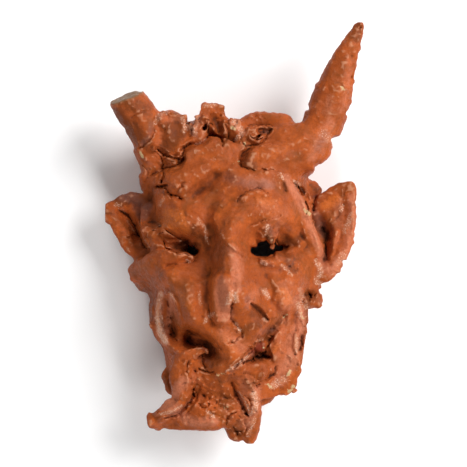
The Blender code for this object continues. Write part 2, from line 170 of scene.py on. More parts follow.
# x, y, radius, lift, length over width, turn in degrees (clockwise), height where it stands free
PELLETS = (
    # Hair between the horns
    (161, 118, 4, 0.1, 1.5, 70), (164, 113, 3, 0.1, 1.3, -20), (184, 121, 3.5, 0.1, 1.5, 60),
    (188, 127, 3, 0.1, 1.4, 80),
    (199, 109, 3.5, 0.1, 1.3, 80), (205, 104, 2.6, 0.1, 1.4, 0), (213, 105, 2.6, 0.1, 1.4, 0),
    (219, 107, 2.8, 0.1, 1.2, 60),
    (198, 117, 4, 0.1, 2.0, 85), (195, 131, 4.5, 0.0, 1.4, 80), (223, 118, 3, 0.1, 1.5, 70),
    (227, 122, 3, 0.1, 1.3, 0),
    (233, 122, 4.5, 0.1, 1.3, 20), (240, 124, 4, 0.1, 1.3, 50), (236, 130, 3.5, 0.2, 1.3, 0),
    (242, 144, 2.6, 0.2, 1.6, 80), (251, 117, 3, 0.1, 1.4, 0), (258, 114, 3, 0.1, 1.5, -10),
    (240, 160, 2.6, 0.1, 1.5, 60), (244, 165, 2.6, 0.1, 1.5, 30), (214, 122, 5, 0.0, 1.2, 40),
    # Strip under the broken horn
    (146, 158, 3, 0.1, 1.6, 80), (158, 178, 3.5, 0.1, 1.5, 70), (166, 192, 2.6, 0.2, 1.4, 70),
    (150, 190, 3, 0.1, 1.5, 80),
    (170, 161, 4, 0.1, 1.5, 20),
    # Temple and ear on the right
    (293, 183, 1.8, 0.3, 1.4, 20), (297, 187, 2.2, 0.3, 1.4, 20), (302, 190, 1.8, 0.3, 1.4, 60),
    (305, 194, 2.2, 0.4, 1.4, 80),
    (310, 200, 3.6, 0.2, 1.6, 75), (307, 212, 2.6, 0.2, 1.4, 60), (316, 186, 3, 0.3, 1.2, 0, 24),
    (312, 183, 3, 0.2, 1.3, 30, 26),
    # Crumb that hangs in the right eye
    (267, 230, 6.0, 0.1, 1.1, 80, 97), (270, 235, 6.6, 0.1, 1.1, 85, 95), (271, 241, 5.6, 0.0, 1.1, 90, 91),
    (265, 236, 4.6, 0.0, 1.2, 40, 92), (272, 246, 4.0, 0.0, 1.2, 90, 87), (275, 236, 4.6, 0.0, 1.2, 60, 86),
    # Clay packed into the left socket under the brow
    (156, 236, 8, 0.0, 1.2, 10, 66), (164, 241, 9, 0.0, 1.2, 15, 67), (172, 244, 8, 0.0, 1.2, 20, 65),
    (179, 246, 6, 0.0, 1.2, 20, 63),
    # Lower lid of the right eye and the cheek
    (262, 261, 3, 0.1, 1.6, 10), (281, 266, 2.4, 0.1, 1.6, 20), (291, 274, 2.4, 0.1, 1.4, 0),
    (298, 264, 2.4, 0.1, 1.6, -30),
    (304, 302, 4, 0.1, 1.4, 0), (318, 304, 3.6, 0.1, 1.4, 30), (322, 297, 2.6, 0.2, 1.0, 0, 44),
    (321, 288, 2.6, 0.1, 1.4, 90),
    (300, 318, 3, 0.1, 2.0, 80), (306, 330, 2.6, 0.1, 2.2, 85), (299, 336, 2.4, 0.2, 1.6, 60),
    (301, 352, 2.4, 0.2, 1.6, 110),
    (289, 374, 2.4, 0.2, 1.4, 30), (293, 389, 3.4, 0.2, 1.3, -20, 44), (283, 393, 3, 0.1, 1.6, 0),
    (271, 386, 2.4, 0.1, 1.5, 20),
    (264, 397, 2.6, 0.1, 1.5, 60), (276, 372, 2.4, 0.1, 1.5, 60),
    # Mouth: the red pellet, its ring, and the shreds of the lips
    (260, 346, 5.6, 0.7, 1.1, 20), (262, 345, 5.4, 0.9, 1.0, 80), (253, 348, 2.4, 0.2, 1.6, 60),
    (244, 352, 2.4, 0.2, 1.6, -30), (207, 351, 2.4, 0.2, 1.6, 70),
    (204, 358, 2.2, 0.2, 1.5, 80), (238, 328, 2.2, 0.2, 1.5, 40), (235, 341, 2.2, 0.2, 1.5, 60),
    (229, 371, 2.2, 0.2, 1.8, -30),
    (219, 374, 2.4, 0.2, 2.0, 0), (237, 366, 2.0, 0.2, 1.8, -30), (247, 376, 2.2, 0.2, 1.4, 60),
    (253, 380, 2.2, 0.2, 1.4, 0),
    # Cheek loop on the left
    (164, 298, 2.0, 0.2, 1.8, 80), (161, 312, 2.0, 0.2, 1.9, 95), (170, 294, 2.0, 0.2, 1.6, 0),
    (169, 304, 2.2, 0.1, 1.6, 80),
    (172, 318, 2.2, 0.1, 1.6, 60), (175, 330, 2.0, 0.1, 1.6, 60), (153, 325, 2.6, 0.1, 1.9, 85),
    # Beard
    (200, 378, 2.2, 0.2, 2.0, 0), (205, 384, 2.6, 0.1, 1.5, 30), (214, 388, 2.8, 0.1, 1.4, 0),
    (222, 384, 2.4, 0.1, 1.5, 60),
    (224, 393, 2.8, 0.1, 1.4, 20), (212, 398, 2.4, 0.1, 1.5, -20), (204, 404, 3.2, 0.1, 1.6, 20),
    (196, 405, 2.2, 0.1, 1.8, 60),
    (214, 411, 2.2, 0.2, 1.9, 20), (228, 404, 2.8, 0.2, 1.5, 0), (236, 401, 2.4, 0.1, 1.5, 60),
    (232, 415, 3.4, 0.1, 1.4, 30),
    (242, 420, 3, 0.1, 1.5, 60), (229, 427, 3, 0.1, 1.4, 70), (254, 394, 3.6, 0.1, 1.7, 80),
    (256, 407, 3, 0.1, 1.7, 85),
    (246, 432, 4, 0.1, 1.4, 80), (252, 424, 3, 0.1, 1.4, 90), (236, 436, 3, 0.1, 1.4, 0),
    (151, 421, 3.6, 0.1, 1.4, -40),
    (163, 378, 2.6, 0.1, 1.4, 60), (195, 391, 2.0, 0.1, 1.5, 70),
)
# More crumb for the right eye, and clay that rounds the lower corner of its hole
EYE_CRUMB = (
    (261, 232, 5.0, 0.1, 1.1, 60, 97), (273, 231, 5.5, 0.1, 1.1, 70, 92),
    (264, 227, 4.5, 0.1, 1.2, 20, 101),
    (276, 241, 3.5, 0.0, 1.2, 60, 82), (259, 238, 3.2, 0.0, 1.2, 30, 93), (263, 240, 2.6, 0.0, 1.2, 60, 91),
    (276, 256, 4.6, 0.0, 1.1, 20, 79), (271, 257, 3.4, 0.0, 1.2, 0, 84),
)
pellets = []
for row in PELLETS:
    pellet(*row)
# The dice are put back after the crumb, so that it changes no mark that is thrown after it
dice_before = random.getstate()
for row in EYE_CRUMB:
    pellet(*row)
random.setstate(dice_before)
select_only(clay)
for ball in pellets:
    ball.select_set(True)
bpy.ops.object.join()
print("pressed on", len(pellets), "pellets")

# %% [markdown]
# ## One even skin
#
# The solid's own triangles are up to a centimetre long, too coarse for a crack two millimetres wide.
# A subdivision would round the form but keep the long and thin faces. A voxel remesh builds a new even
# skin with a point every nine tenths of a millimetre and melts the pellets into the body, and a light
# smoothing takes the flat facets away, as a damp sponge does.

# %% Remesh and sponge
GRAIN = 0.00088
SPONGE_ROUNDS = 5


def press_on(obj, kind, **settings):
    """Adds one modifier, sets it and applies it."""
    select_only(obj)
    bpy.ops.object.modifier_add(type=kind)
    modifier = obj.modifiers[-1]
    for name, value in settings.items():
        setattr(modifier, name, value)
    bpy.ops.object.modifier_apply(modifier=modifier.name)


press_on(clay, "REMESH", mode="VOXEL", voxel_size=GRAIN, adaptivity=0.0)
press_on(clay, "SMOOTH", factor=0.5, iterations=SPONGE_ROUNDS)
print("even skin of", len(clay.data.vertices), "points")

# %% [markdown]
# ## Tools for marks
#
# A mark is drawn as a soft line over the layout with a radius along it, and seven tools follow it. A
# swell raises or sinks the clay softly, a cut has a sharp bottom like a crack, a fold raises one side
# only, like the edge of a sheet laid over another, and a fill lays clay up to a height. A drag leaves
# the lines of fingers side by side, a crumble scatters dents and crumbs, and a nudge pushes sideways.
# All but the nudge move points up or down, and only those that face up, so the sides and the hollow
# behind stay as they are. Sculpt brushes do the same by hand, but they need a window; a written mark
# can be corrected later.

# %% Marking tools
STEEPEST = 0.35
RAGGED = 0.45
dice = np.random.default_rng(5)


class Marks:
    """Marks on the front of the clay. They are collected, and pressed in together by done()."""

    def __init__(self, obj):
        mesh = obj.data
        count = len(mesh.vertices)
        self.mesh = mesh
        self.co = np.zeros(count * 3, np.float32)
        mesh.vertices.foreach_get("co", self.co)
        self.co = self.co.reshape(-1, 3)
        normal = np.zeros(count * 3, np.float32)
        mesh.vertex_normals.foreach_get("vector", normal)
        self.up = np.clip(normal.reshape(-1, 3)[:, 2] / STEEPEST, 0, 1)
        self.x = self.co[:, 0] / SQUARE + MIDDLE[0]
        self.y = MIDDLE[1] - self.co[:, 1] / SQUARE
        self.rise = np.zeros(count)
        self.slide = np.zeros((count, 2))

    def near(self, line, reach):
        """Numbers of the points close to a line."""
        low = line[:, :2].min(axis=0) - reach
        high = line[:, :2].max(axis=0) + reach
        return np.nonzero((self.x > low[0]) & (self.x < high[0])
                          & (self.y > low[1]) & (self.y < high[1]))[0]

    def along(self, points, ragged=0.0):
        """Points near a soft line, and how near: 1 on it, 0 at its radius."""
        line = smooth_curve(points)
        if ragged:
            line[:, :2] += dice.normal(0, ragged, (len(line), 2))
            line[:, 2] *= dice.uniform(0.6, 1.2, len(line))
        index = self.near(line, line[:, 2].max())
        best = np.zeros(len(index))
        for a, b in zip(line[:-1], line[1:]):
            ux, uy = b[:2] - a[:2]
            dx = self.x[index] - a[0]
            dy = self.y[index] - a[1]
            t = np.clip((dx * ux + dy * uy) / (ux * ux + uy * uy + 1e-9), 0, 1)
            radius = a[2] + (b[2] - a[2]) * t
            best = np.maximum(best, 1 - ((dx - t * ux) ** 2 + (dy - t * uy) ** 2) / radius**2)
        return index, best

    def swell(self, height, *points):
        """Raised softly along the points, or sunk where the height is below zero."""
        index, u = self.along(points)
        self.rise[index] += height * u * u

    def cut(self, depth, *points):
        """A crack that wanders a little, sharp at the bottom."""
        index, u = self.along(points, ragged=RAGGED)
        self.rise[index] -= depth * (1 - np.sqrt(1 - u))

    def fold(self, height, fall, *points):
        """Raised on the right of the line as it is drawn, and falling away over that distance."""
        line = smooth_curve(points)
        index = self.near(line, 3 * fall)
        best = np.full(len(index), np.inf)
        side = np.zeros(len(index))
        soft = np.ones(len(index))
        part = np.zeros(len(index))
        for i, (a, b) in enumerate(zip(line[:-1], line[1:])):
            ux, uy = b[:2] - a[:2]
            dx = self.x[index] - a[0]
            dy = self.y[index] - a[1]
            t = np.clip((dx * ux + dy * uy) / (ux * ux + uy * uy + 1e-9), 0, 1)
            gap = np.hypot(dx - t * ux, dy - t * uy)
            closer = gap < best
            best = np.where(closer, gap, best)
            side = np.where(closer, np.sign(ux * dy - uy * dx) * gap, side)
            soft = np.where(closer, a[2] + (b[2] - a[2]) * t, soft)
            part = np.where(closer, (i + t) / (len(line) - 1), part)
        ends = np.clip(np.minimum(part, 1 - part) / 0.2, 0, 1)
        step = np.clip(side / soft * 0.5 + 0.5, 0, 1)
        rise = ends * ends * (3 - 2 * ends) * step * step * (3 - 2 * step)
        self.rise[index] += height * rise * np.exp(-(np.clip(side, 0, None) / fall) ** 1.5)

    def fill(self, level, *points):
        """Fresh clay along the points up to that height over the table, none where it is higher."""
        index, u = self.along(points)
        short = level - self.co[index, 2] / SQUARE - self.rise[index]
        self.rise[index] += np.clip(short, 0, None) * u * u * (3 - 2 * u)

    def drag(self, height, width, count, *points):
        """Side by side lines that fingers leave, over a band of that width along the points."""
        for i in range(count):
            shift = width * ((i + 0.5) / count - 0.5)
            way = random.uniform(-1, 1)
            ax, ay = points[0][0] - points[-1][0], points[0][1] - points[-1][1]
            size = math.hypot(ax, ay)
            row = [(x + shift * ay / size, y - shift * ax / size, r * random.uniform(0.8, 1.2))
                   for x, y, r in points]
            self.swell(height * way, *row)

    def crumble(self, height, size, count, *points):
        """Small dents and crumbs scattered over the band along the points."""
        line = smooth_curve(points)
        for _ in range(count):
            x, y, reach = line[random.randrange(len(line))]
            turn = random.uniform(0, 2 * math.pi)
            away = reach * math.sqrt(random.random())
            x += away * math.cos(turn)
            y += away * math.sin(turn)
            lean = random.uniform(0, math.pi)
            half = size * random.uniform(0.2, 0.9)
            r = size * random.uniform(0.5, 1.1)
            self.swell(height * random.uniform(-1, 0.9),
                       (x - half * math.cos(lean), y - half * math.sin(lean), r),
                       (x + half * math.cos(lean), y + half * math.sin(lean), 0.8 * r))

    def nudge(self, right, down, *points):
        """Pushes the clay sideways, for the outline."""
        index, u = self.along(points)
        self.slide[index] += np.outer(u * u, (right, -down))

    def done(self):
        """Presses all the marks into the clay."""
        self.co[:, 2] += (self.rise * self.up * SQUARE).astype(np.float32)
        self.co[:, :2] += (self.slide * SQUARE).astype(np.float32)
        self.mesh.vertices.foreach_set("co", self.co.ravel())
        self.mesh.update()


print("tools: swell, cut, fold, fill, drag, crumble and nudge")

# %% [markdown]
# ## The outline
#
# The solid's edge is a little rounder than the real one. Pulling points by hand would do, but each pull
# is hard to correct. A written push moves the clay near a line sideways, as the side of a thumb does.
# Each row says how far to the right and down, and along which points. The marks of a cell are added
# up, and done() presses them in together; these go in with the hair and the horns.

# %% Push the outline
# Squares to the right, squares down, then points of x, y and radius
OUTLINE = (
    (3.5, 4.5, (158, 405, 7), (168, 399, 9), (177, 392, 8)),
    (-1.5, -2.5, (112, 103, 6), (122, 97, 7), (134, 92, 6)),
    (-4, 3, (136, 281, 7), (142, 288, 7)),
    (2, 4, (153, 410, 6)),
    (3, 1, (171, 396, 6)),
    (0, 1.5, (170, 429, 8), (200, 430, 8), (220, 430, 6)),
    (0, 2.5, (250, 443, 6)),
    (4, 1, (310, 170, 6)),
    (3, -2, (184, 118, 6)),
    (1.5, 2, (318, 305, 6)),
    (3, -1, (221, 108, 5)),
    (-3, -6, (264, 405, 7), (272, 405, 8), (280, 402, 7)),
    (-5, -3, (337, 142, 7)),
    (4, 3, (331, 157, 7), (325, 164, 7)),
    (-3, 1, (313, 176, 7)),
    (5, 2, (196, 104, 6), (195, 112, 6)),
    (0, 5, (297, 117, 7), (303, 117, 5)),
    (3, 0, (127, 128, 8), (133, 145, 8)),
    (-5, 0, (143, 178, 8), (144, 188, 7)),
    (-5, 0, (106, 203, 8), (105, 212, 8), (107, 220, 6)),
    (-3.5, 1, (130, 266, 7), (131, 277, 8)),
    (-2, 0, (150, 310, 8), (149, 325, 8), (156, 342, 7)),
    (2.5, -2, (352, 184, 8), (357, 195, 7)),
    (0, 4, (229, 437, 8), (238, 440, 6)),
    (2, 3, (289, 395, 7), (296, 386, 7)),
    (3, 0, (303, 372, 6), (303, 379, 5)),
    (0, 3, (150, 425, 6), (158, 428, 6)),
    (0, 2.5, (166, 391, 6)),
    (-4.5, 1, (359, 74, 5)),
    (-3, 0, (345, 133, 4)),
    (2.5, 0, (356, 82, 4)),
    (1.5, 0, (360, 50, 5)),
    (2, 0, (352, 103, 4)),
    (-2, -1, (349, 114, 4)),
    (2, 1.5, (307, 108, 4)),
    (-2, 0, (318, 86, 4)),
    (-2, 0, (331, 64, 4)),
)
marks = Marks(clay)
for right, down, *points in OUTLINE:
    marks.nudge(right, down, *points)
print("outline pushed in", len(OUTLINE), "places")

# %% [markdown]
# ## Hair and horns
#
# Over the forehead the clay was torn and pushed together, and deep gaps stay between the lumps. They
# are dark because nothing fills them. The long horn was rolled and then stroked towards its tip, which
# leaves lines along it and a torn outer edge. Loose lumps laid side by side would give the gaps too,
# with hollows under them that nobody sees. A swell on each side of a deep cut in the one skin throws
# the same shadow.

# %% Mark the hair and the horns
marks.swell(15, (156, 150, 6), (164, 155, 7), (174, 160, 7), (181, 158, 5))
marks.swell(6, (165, 169, 5), (176, 168, 5))
marks.cut(7, (158, 150, 1.3), (164, 155, 1.6), (171, 158, 1.8), (179, 160, 2.0))
marks.cut(6, (184, 150, 1.2), (183, 155, 1.6), (179, 161, 1.8), (178, 166, 1.4))
marks.cut(6, (162, 169, 1.3), (170, 168, 1.7), (177, 166, 1.6))
marks.cut(4, (161, 156, 1.0), (163, 163, 1.4), (163, 170, 1.3))
marks.cut(3, (150, 176, 1.2), (155, 173, 1.5), (161, 172, 1.2))
marks.cut(6, (163, 171, 1.4), (164, 177, 2.2), (162, 183, 1.4))
marks.swell(5, (160, 188, 5), (170, 190, 5), (180, 197, 4))
marks.cut(10, (157, 187, 1.8), (162, 187, 2.2), (168, 186, 1.6))
marks.cut(5, (165, 188, 1.6), (170, 194, 2.6), (172, 198, 1.8))
marks.cut(5, (172, 196, 1.4), (177, 196, 1.7), (182, 199, 1.2))
marks.cut(5, (181, 150, 1.2), (186, 147, 1.3), (190, 144, 1.4))
marks.cut(4, (190, 144, 1.2), (196, 145, 1.3), (203, 143, 1.3), (207, 138, 1.4))
marks.cut(5, (207, 138, 1.3), (212, 134, 1.6), (217, 136, 1.7), (222, 139, 1.4), (223, 148, 1.0))
marks.swell(12, (206, 120, 7), (211, 130, 7))
marks.cut(12, (204, 130, 1.8), (206, 128, 2.6), (207, 125, 2.0))
marks.cut(2, (208, 124, 1.2), (208, 117, 1.4), (210, 112, 1.1))
marks.swell(-4, (214, 121, 5), (218, 127, 6), (219, 132, 4))
marks.fold(4, 5, (206, 130, 1.3), (206, 122, 1.3), (208, 114, 1.3), (210, 107, 1.3))
marks.fold(3, 4, (222, 138, 1.3), (224, 128, 1.3), (222, 118, 1.3))
marks.fill(76, (191, 126, 6), (192, 133, 7))
marks.swell(4, (162, 120, 6), (164, 127, 5))
marks.swell(3, (171, 113, 5), (182, 115, 5), (188, 123, 5))
marks.swell(-4, (176, 125, 8), (178, 134, 9))
marks.cut(1.5, (168, 115, 1.2), (169, 123, 1.6), (165, 131, 1.2))
marks.fill(79, (252, 134, 9), (258, 137, 10), (264, 136, 9), (268, 132, 7))
marks.fill(79, (252, 138, 8), (256, 139, 8), (262, 138, 7))
marks.swell(-7, (260, 132, 5), (265, 132, 6), (269, 131, 4))
marks.swell(4, (252, 139, 5), (258, 141, 5))
marks.cut(2.5, (250, 129, 1.2), (258, 127, 1.4), (265, 127, 1.4), (272, 130, 1.2))
marks.cut(4, (272, 130, 1.4), (268, 134, 1.8), (265, 139, 1.6))
marks.cut(3.5, (248, 146, 1.2), (256, 146, 1.6), (262, 143, 1.7), (265, 139, 1.3))
marks.swell(2.5, (266, 142, 3), (262, 146, 3))
marks.swell(5, (252, 155, 8), (250, 163, 8))
marks.cut(3.5, (250, 149, 1.4), (243, 154, 2.0), (240, 160, 2.0), (240, 165, 1.6), (246, 169, 1.6),
          (254, 171, 1.2))
marks.cut(3, (262, 170, 1.0), (267, 171, 1.4), (273, 170, 1.0))
marks.swell(-3.5, (283, 184, 3.5), (285, 191, 3.5))
marks.fold(3, 4, (281, 181, 1.4), (281, 188, 1.4), (287, 194, 1.4))
marks.cut(2.5, (143, 165, 1.2), (148, 173, 1.5), (147, 183, 1.2))
marks.cut(3, (140, 149, 1.4), (146, 144, 1.6), (152, 138, 1.5), (155, 130, 1.3))
marks.cut(3, (226, 126, 1.3), (229, 134, 1.6), (226, 142, 1.3))
marks.cut(3, (240, 134, 1.2), (242, 142, 1.4), (246, 147, 1.2))
marks.swell(3, (160, 120, 6), (170, 114, 7), (182, 118, 6))
marks.crumble(1.5, 1.4, 60, (158, 122, 5), (161, 115, 4), (170, 112, 3), (182, 116, 5), (190, 124, 5))
marks.crumble(1.6, 1.6, 70, (200, 110, 5), (197, 130, 6), (214, 108, 6), (222, 122, 5), (234, 126, 8),
              (244, 136, 6))
marks.crumble(1.3, 1.6, 40, (170, 163, 5), (160, 182, 6), (150, 165, 8), (168, 194, 4))
marks.crumble(1.3, 1.5, 24, (256, 117, 4), (266, 116, 4))
marks.crumble(1.3, 1.5, 24, (266, 170, 4), (282, 178, 5))
marks.drag(0.5, 22, 6, (300, 150, 6), (318, 125, 6), (326, 100, 6), (334, 78, 5), (346, 50, 4),
           (357, 28, 3))
marks.drag(1.0, 26, 6, (150, 150, 6), (140, 125, 6), (128, 104, 6))
marks.drag(1.2, 30, 6, (180, 170, 7), (205, 160, 8), (228, 165, 7))
marks.drag(1.2, 40, 7, (262, 168, 7), (285, 155, 8), (308, 145, 7))
marks.cut(1.5, (132, 118, 1.2), (140, 114, 1.6), (149, 112, 1.4))
marks.swell(-1.5, (134, 112, 5), (136, 122, 6))
marks.swell(-1.5, (328, 92, 6), (322, 112, 7))
marks.swell(-2, (351, 58, 4), (352, 72, 4.5), (349, 84, 4))
marks.swell(1.5, (344, 66, 7), (340, 90, 8), (332, 114, 9))
marks.cut(2, (340, 86, 1.2), (343, 90, 1.5), (341, 94, 1.2))
marks.crumble(2.0, 2.0, 60, (344, 128, 3), (351, 100, 3), (355, 76, 4), (360, 45, 3), (360, 28, 3))
marks.done()
print("hair marked")

# %% [markdown]
# ## Forehead, brows and eyes
#
# The right brow is a separate sheet of clay folded over, with a crease along its top and its lower
# edge running down beside the nose. The sockets are torn open from the front, and the lids are thin
# shreds. The marks are added up, so their order matters to a fill only, which looks how high the clay
# already is. The left socket is filled first and its fold is laid over that.

# %% Mark the brows and eyes
marks = Marks(clay)
marks.cut(3, (184, 183, 1.8), (180, 189, 2), (177, 195, 1.8))
marks.swell(-4, (214, 178, 9), (204, 188, 9), (193, 195, 8))
marks.fold(5, 6, (236, 204, 1.0), (241, 197, 1.0), (249, 192, 1.3), (258, 190, 1.3), (267, 194, 1.3),
           (273, 200, 1.3))
marks.cut(2.5, (237, 202, 0.9), (243, 195, 1.3), (251, 191, 1.3), (259, 189, 1.1), (268, 195, 1.3))
marks.fold(4.5, 7, (250, 262, 1.4), (245, 257, 1.4), (233, 249, 1.4), (221, 238, 1.6), (216, 228, 1.6),
           (213, 218, 1.6), (213, 208, 2.5))
marks.cut(2, (251, 225, 1.0), (258, 223, 1.3), (265, 220, 1.0))
marks.cut(2, (271, 219, 1.0), (276, 218, 1.2), (281, 216, 1.0))
marks.swell(3, (188, 213, 4), (199, 221, 4.5), (205, 233, 4.5), (208, 244, 4))
marks.cut(1.5, (192, 224, 1.2), (197, 230, 1.5), (201, 238, 1.2))
marks.swell(3, (210, 220, 7), (210, 232, 7))
marks.crumble(1.2, 1.8, 50, (225, 215, 9), (250, 210, 12), (280, 215, 10), (262, 228, 8))
marks.crumble(1.0, 1.8, 30, (165, 215, 8), (185, 215, 9), (200, 225, 7))
marks.swell(7, (294, 236, 9), (300, 244, 7))
marks.nudge(-3, 5, (281, 240, 6))
marks.nudge(-3, -3, (279, 256, 6))
marks.nudge(3, 3, (253, 243, 5))
marks.nudge(1, 3, (262, 237, 5))
marks.cut(4, (281, 249, 1.8), (285, 248, 1.8), (288, 247, 1.2))
marks.fold(4, 6, (252, 258, 2.2), (264, 259, 2.2), (276, 256, 2.2), (288, 250, 2.2), (300, 247, 2.2))
marks.swell(3, (262, 260, 5), (274, 261, 8), (288, 259, 7))
marks.fold(-2, 7, (257, 261, 1.6), (265, 267, 1.6), (275, 269, 1.6), (286, 266, 2), (296, 261, 2.4))
marks.swell(-3, (263, 263, 2.2))
marks.swell(-2.5, (281, 264, 2.0))
marks.crumble(1.4, 1.7, 50, (260, 262, 6), (280, 262, 7), (298, 262, 8), (292, 274, 6))
marks.cut(3, (291, 182, 1.2), (296, 185, 1.6), (300, 188, 1.8))
marks.cut(8, (299, 188, 2.2), (302, 191, 3.2), (304, 194, 2.2))
marks.cut(6, (306, 203, 1.8), (308, 208, 2), (306, 214, 1.8))
marks.crumble(2.0, 1.6, 40, (298, 187, 5), (304, 193, 5), (309, 203, 4))
marks.drag(1.0, 9, 4, (287, 176, 2.5), (300, 200, 2.5), (310, 225, 2.5), (319, 250, 2.5))
marks.fold(3, 6, (283, 178, 2), (296, 204, 2), (304, 226, 2), (309, 246, 2))
marks.fill(71, (148, 230, 8), (156, 232, 10))
marks.fill(77, (158, 236, 10), (166, 236, 10))
marks.fill(88, (168, 231, 9), (176, 233, 10))
marks.fill(81, (170, 239, 9), (180, 239, 9))
marks.fill(78, (164, 243, 8), (172, 244, 8))
marks.fill(74, (178, 245, 7), (184, 244, 6))
marks.swell(4, (170, 224, 12), (180, 225, 12))
marks.nudge(3, -3, (184, 257, 6), (190, 260, 6))
marks.nudge(-2, 3, (199, 245, 5))
marks.nudge(0, 3, (192, 243, 5))
marks.cut(2, (185, 240, 1.2), (188, 241, 1.6), (192, 241, 1.2))
marks.fill(98, (180, 255, 4), (186, 257, 4), (190, 260, 4))
marks.fold(5, 6, (150, 242, 1.2), (160, 244, 1.2), (170, 247, 1.2), (180, 251, 1.2), (192, 260, 1.2))
marks.cut(1.6, (160, 269, 2), (170, 265, 2.6), (178, 264, 2.2), (187, 263, 1.2))
marks.fold(2, 6, (188, 264, 1.5), (178, 265, 2), (168, 268, 2.5), (158, 273, 3))
marks.swell(3, (139, 222, 3.5), (142, 234, 4), (149, 247, 3.5))
marks.fold(5, 6, (150, 252, 1.2), (145, 245, 1.2), (140, 235, 1.2), (137, 224, 1.2), (135, 216, 1.2))
marks.crumble(0.8, 2.0, 16, (150, 262, 8), (160, 258, 6))
marks.done()
print("brows and eyes marked")

# %% [markdown]
# ## Ears
#
# Each ear is a slab with its rim rolled over. The hollow behind the rim is the darkest place at the
# side of the head, so it gets a cut along the inside of the rim. The slab and its roll are in the solid
# already; a new ear modelled from a plane would only have to meet it again.

# %% Mark the ears
marks = Marks(clay)
marks.cut(5, (118, 210, 1.2), (125, 214, 2.4), (132, 224, 3.0), (138, 237, 1.6))
marks.fold(3, 4, (134, 236, 1.4), (128, 225, 1.4), (121, 216, 1.4), (112, 208, 1.4))
marks.fold(3, 5, (138, 238, 2), (131, 227, 2), (123, 214, 2), (113, 205, 2))
marks.cut(3, (127, 237, 1.1), (133, 235, 1.4), (139, 237, 1.1))
marks.cut(2.5, (140, 239, 1.1), (143, 246, 1.4), (147, 250, 1.1))
marks.crumble(1.3, 1.8, 40, (120, 202, 6), (135, 200, 7), (145, 215, 5), (130, 245, 7))
marks.swell(5, (316, 216, 6), (320, 226, 6))
marks.cut(4, (323, 227, 2.4), (327, 233, 4.4), (327, 240, 2.6))
marks.cut(4, (326, 241, 1.6), (327, 250, 1.8), (328, 260, 1.3))
marks.cut(5, (317, 196, 1.8), (315, 203, 2), (314, 211, 1.8))
marks.swell(-3, (348, 205, 6), (347, 225, 7), (342, 245, 7))
marks.swell(4, (336, 232, 6), (333, 245, 6), (330, 256, 5))
marks.nudge(-2, 0, (358, 232, 4))
marks.nudge(2, 1, (355, 243, 5))
marks.nudge(-2, -2, (345, 263, 4))
marks.nudge(2, 2, (338, 270, 4))
marks.cut(1.5, (346, 187, 1.8), (344, 200, 2.2), (340, 213, 2.2), (333, 222, 1.8))
marks.fold(-3, 8, (334, 221, 2), (341, 212, 2), (345, 200, 2), (347, 188, 2))
marks.crumble(1.3, 1.8, 40, (350, 190, 4), (352, 215, 4), (348, 240, 5), (338, 262, 5), (326, 276, 5))
marks.drag(0.9, 18, 5, (322, 196, 3), (332, 200, 3.5), (336, 214, 3.5))
marks.done()
print("ears marked")

# %% [markdown]
# ## Nose, cheeks and mouth
#
# The nose was pulled down with two fingers, so lines run along it, and a slit was pressed into its wing
# with a blade. A cut is too narrow at the bottom for that slit, so it is a deep and narrow swell below
# zero. The mouth is torn open on the left and closed to a slanting gap on the right.

# %% Mark the nose, cheeks and mouth
marks = Marks(clay)
marks.drag(1.2, 26, 7, (232, 258, 3.5), (231, 280, 4), (229, 300, 4))
marks.drag(1.1, 24, 6, (206, 268, 4), (200, 290, 4), (196, 315, 4))
marks.drag(0.6, 30, 4, (160, 270, 6), (172, 285, 6), (180, 305, 6))
marks.drag(1.0, 20, 5, (262, 275, 4), (268, 292, 4), (262, 312, 4))
marks.fold(1.3, 7, (218, 326, 3), (214, 312, 3), (214, 297, 3), (216, 280, 4), (218, 266, 5))
marks.cut(4, (232, 302, 1.6), (231, 311, 1.8), (232, 318, 1.8), (240, 328, 1.8), (243, 336, 1.6))
marks.swell(5, (250, 302, 4), (258, 309, 5), (268, 319, 4))
marks.swell(-10, (251, 303, 2.6), (256, 308, 4.4), (262, 314, 4.4), (267, 319, 2.6))
marks.fold(2, 4, (250, 301, 1.5), (257, 306, 1.5), (263, 313, 1.5), (268, 320, 1.5))
marks.swell(3, (206, 262, 9), (206, 290, 10), (207, 316, 8))
marks.fill(120, (221, 280, 11), (220, 298, 12), (221, 314, 11))
marks.swell(5.5, (226, 280, 9), (227, 294, 9), (226, 305, 7))
marks.swell(4, (272, 282, 9), (284, 295, 10), (283, 308, 8))
marks.swell(-3, (262, 290, 5), (270, 300, 5), (280, 314, 5))
marks.crumble(1.2, 1.7, 40, (207, 318, 7), (214, 322, 6), (226, 328, 8), (240, 335, 7))
marks.crumble(1.0, 1.8, 24, (274, 288, 8), (288, 300, 8), (300, 285, 8))
marks.swell(5, (159, 300, 4), (158, 315, 4), (161, 328, 4.5), (168, 342, 5), (178, 350, 5))
marks.swell(-5, (169, 302, 4), (170, 315, 6), (173, 328, 6), (175, 336, 4))
marks.swell(4, (165, 295, 3), (171, 294, 3), (176, 301, 3), (180, 315, 3.5), (184, 330, 3.5))
marks.crumble(1.4, 1.8, 40, (160, 300, 4), (159, 318, 4), (165, 338, 5))
marks.cut(4, (170, 334, 1.4), (173, 338, 2.0), (177, 341, 1.4))
marks.crumble(1.2, 2.2, 24, (168, 303, 5), (169, 320, 5), (173, 332, 4))
marks.swell(4, (188, 336, 6), (202, 340, 6))
marks.cut(4, (186, 340, 1.2), (192, 345, 1.6), (199, 345, 1.2))
marks.cut(4, (184, 329, 1.6), (194, 333, 2.0), (204, 335, 2.0), (213, 338, 2.0), (221, 347, 1.6))
marks.fold(3, 6, (207, 347, 2), (198, 348, 2), (188, 351, 2), (182, 357, 2))
marks.crumble(1.8, 2.4, 60, (196, 352, 5), (188, 366, 9), (194, 380, 9), (186, 392, 7))
marks.cut(2.5, (189, 360, 1.2), (187, 369, 1.5), (191, 377, 1.2))
